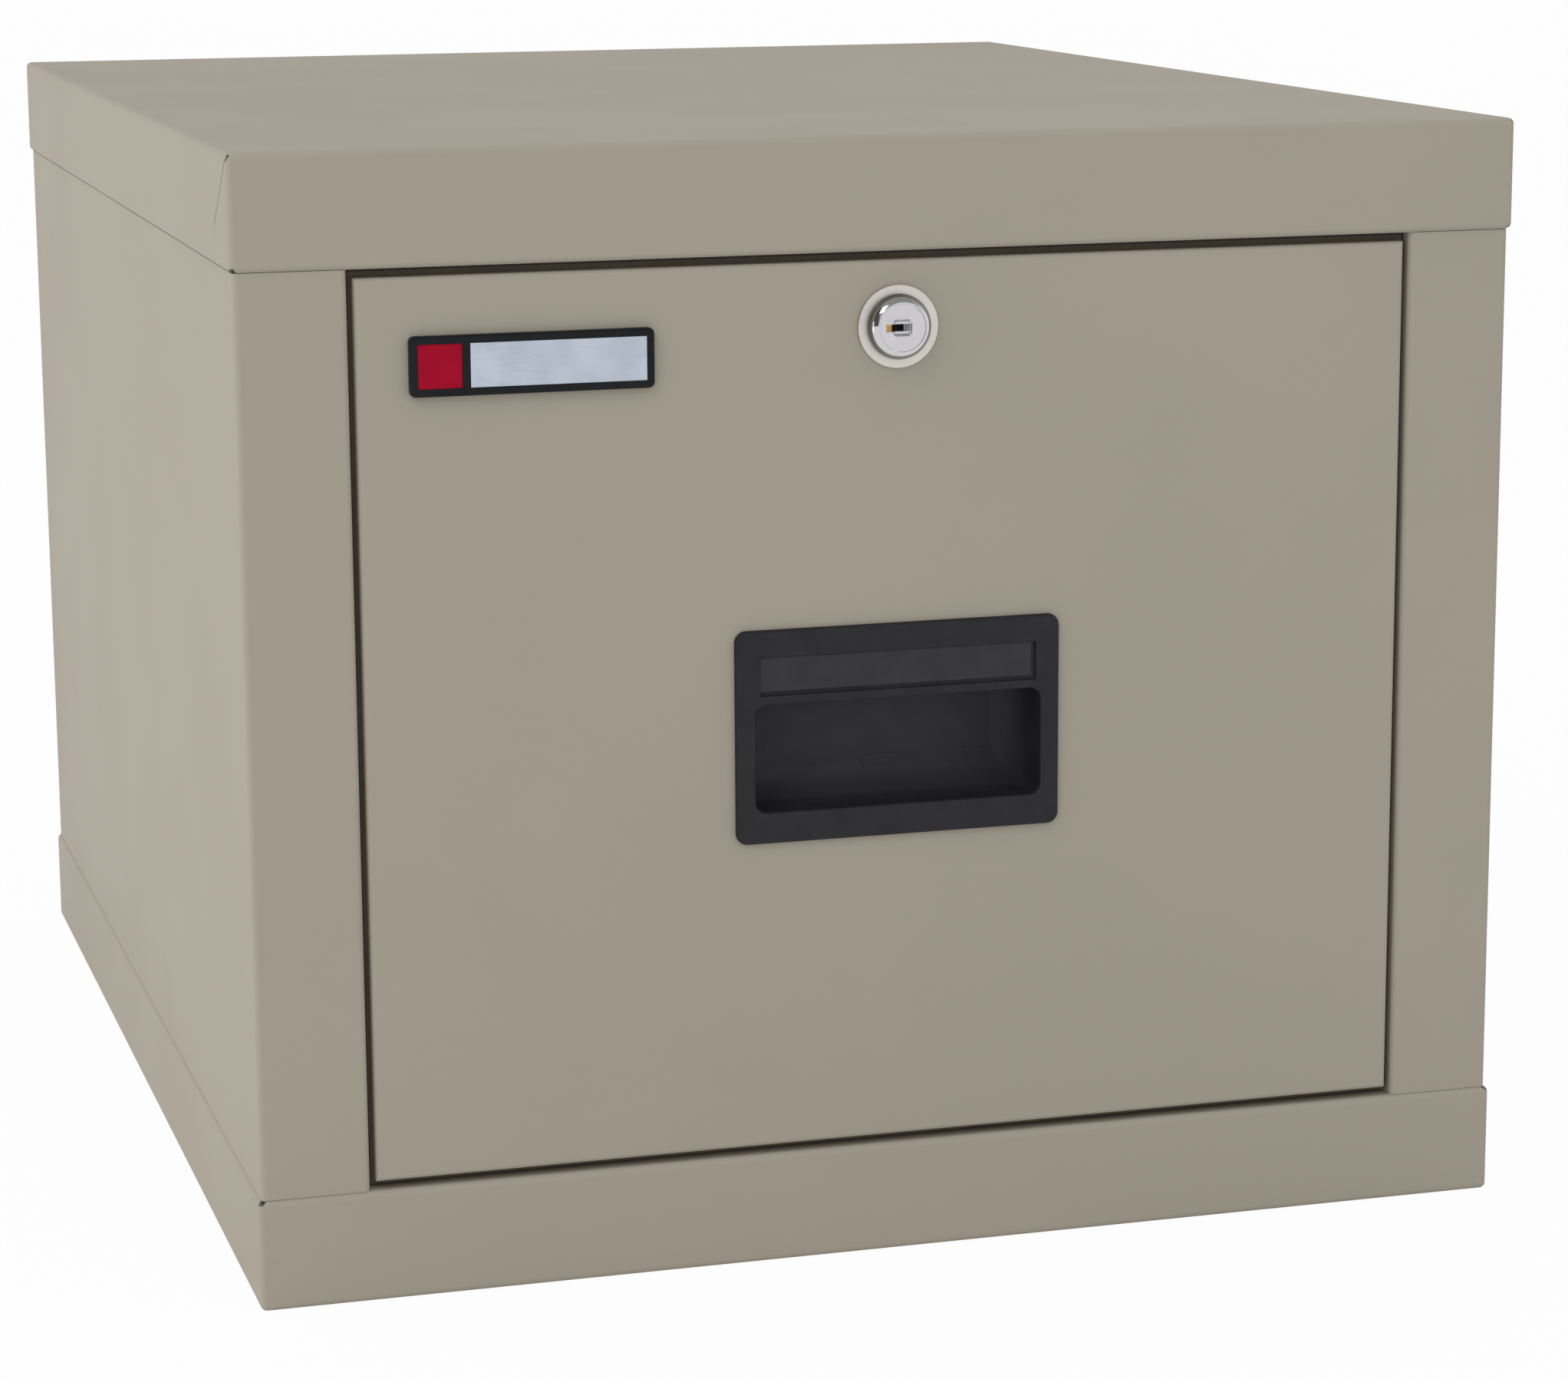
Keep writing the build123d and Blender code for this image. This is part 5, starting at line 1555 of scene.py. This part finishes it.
@dataclass(frozen=True)
class Studio:
    """A white floor, soft lamps and pale surroundings.

    Attributes:
        ambient: Level of the light from all round.
        ceiling: How bright the surroundings look overhead in polished metal.
        ceiling_span: How steeply upwards the ceiling starts and is full, 0 to 1.
        shade: How bright they look there on the cabinet's left.
        shade_span: How far to the left the shade starts and is full, 0 to -1.
        floor_grey: Grey of the floor.
        floor_share: How much of the floor's white is its own.
        floor_size: Side of the floor.
        floor_drop: How far the floor lies under the cabinet's feet.
        lamps: The soft lamps.
        viewpoint: The camera.
    """

    ambient: float = 0.78
    ceiling: float = 0.35
    ceiling_span: Pair = (0.15, 0.85)
    shade: float = 0.10
    shade_span: Pair = (-0.5, -0.75)
    floor_grey: float = 0.88
    floor_share: float = 0.96
    floor_size: float = 30.0
    floor_drop: float = 0.05 * MM
    lamps: tuple[Softbox, ...] = (
        Softbox(
            "key lamp", place=(-1.17, -1.38, 1.85), aim=(0.0, -0.2, 0.3), size=(0.9, 0.9), power=5.8
        ),
        Softbox(
            "left lamp", place=(-1.2, 0.0, 0.25), aim=(-0.22, 0.0, 0.15), size=(0.9, 0.6), power=2.5
        ),
    )
    viewpoint: Viewpoint = Viewpoint()

    def surroundings(self) -> None:
        """Makes the world: white where it is seen, a plain level where it lights."""
        world = bpy.data.worlds.new("studio")
        bench = Bench.cleared(world)
        path = bench.node("ShaderNodeLightPath").outputs
        away = bench.node("ShaderNodeTexCoord").outputs["Generated"]
        overhead = bench.spread(bench.split(away, "Z"), *self.ceiling_span)
        mirrored = bench.blend(overhead, WHITE, grey(self.ceiling))
        leftward = bench.spread(bench.split(away, "X"), *self.shade_span)
        mirrored = bench.blend(leftward, mirrored, grey(self.shade))
        straight = bench.maths("MAXIMUM", path["Is Camera Ray"], path["Is Transmission Ray"])
        shown = bench.blend(straight, mirrored, WHITE)
        seen = bench.maths("MAXIMUM", straight, path["Is Glossy Ray"])
        colour = bench.blend(seen, grey(self.ambient), shown)
        light = bench.node("ShaderNodeBackground", {"Color": colour})
        bench.node("ShaderNodeOutputWorld", {"Surface": light.outputs[0]})
        bpy.context.scene.world = world

    def floor(self) -> None:
        """Makes the pale floor, which keeps the shadow of the cabinet."""
        half = self.floor_size / 2
        sides = ((-half, -half), (half, -half), (half, half), (-half, half))
        corners = [Vector((x, y, -self.floor_drop)) for x, y in sides]
        made = put_in_scene("floor", mesh_of("floor", corners, [(0, 1, 2, 3)]))
        material = bpy.data.materials.new("white floor")
        bench = Bench.cleared(material)
        path = bench.node("ShaderNodeLightPath").outputs
        seen = bench.maths("MAXIMUM", path["Is Camera Ray"], path["Is Transmission Ray"])
        seen = bench.maths("MAXIMUM", seen, path["Is Glossy Ray"])
        share = bench.maths("MULTIPLY", seen, self.floor_share)
        matt = bench.node("ShaderNodeBsdfDiffuse", {"Color": grey(self.floor_grey)}).outputs[0]
        white = bench.node("ShaderNodeEmission", {"Color": WHITE, "Strength": 1.0}).outputs[0]
        mixed = bench.node("ShaderNodeMixShader", {0: share, 1: matt, 2: white})
        bench.node("ShaderNodeOutputMaterial", {"Surface": mixed.outputs[0]})
        made.data.materials.append(material)
        made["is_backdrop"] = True

    def build(self, low: Vector, high: Vector) -> None:
        """Builds the studio round the cabinet.

        Args:
            low: Lowest corner of the cabinet.
            high: Highest corner of the cabinet.
        """
        bpy.context.scene.view_settings.view_transform = "Standard"
        self.surroundings()
        self.floor()
        for lamp in self.lamps:
            lamp.build()
        self.viewpoint.build(low, high)
        LOG.info("studio has %d lamps", len(self.lamps))


def main() -> None:
    """Builds and dresses the cabinet, then the studio round it."""
    logging.basicConfig(level=logging.INFO, format="%(name)s: %(message)s")
    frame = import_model()
    solid_low, solid_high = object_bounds()
    plug_low, plug_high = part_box("lock_plug")
    axis = (plug_low + plug_high) / 2
    bezel = (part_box("lock_housing")[0].y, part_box("lock_rose")[0].y)
    pull_low, pull_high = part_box("pull_housing")
    palette = Palette(tuple(axis), bezel, (pull_low.y, pull_high.y))
    store = Store(frame, palette.finishes(), Workshop())
    for assembly in (Case, Slides, DrawerHead, DrawerBox, Lock):
        assembly(store).build()
        LOG.info("%s done", assembly.__name__)
    Studio().build(solid_low, solid_high)


if __name__ == "__main__":
    main()
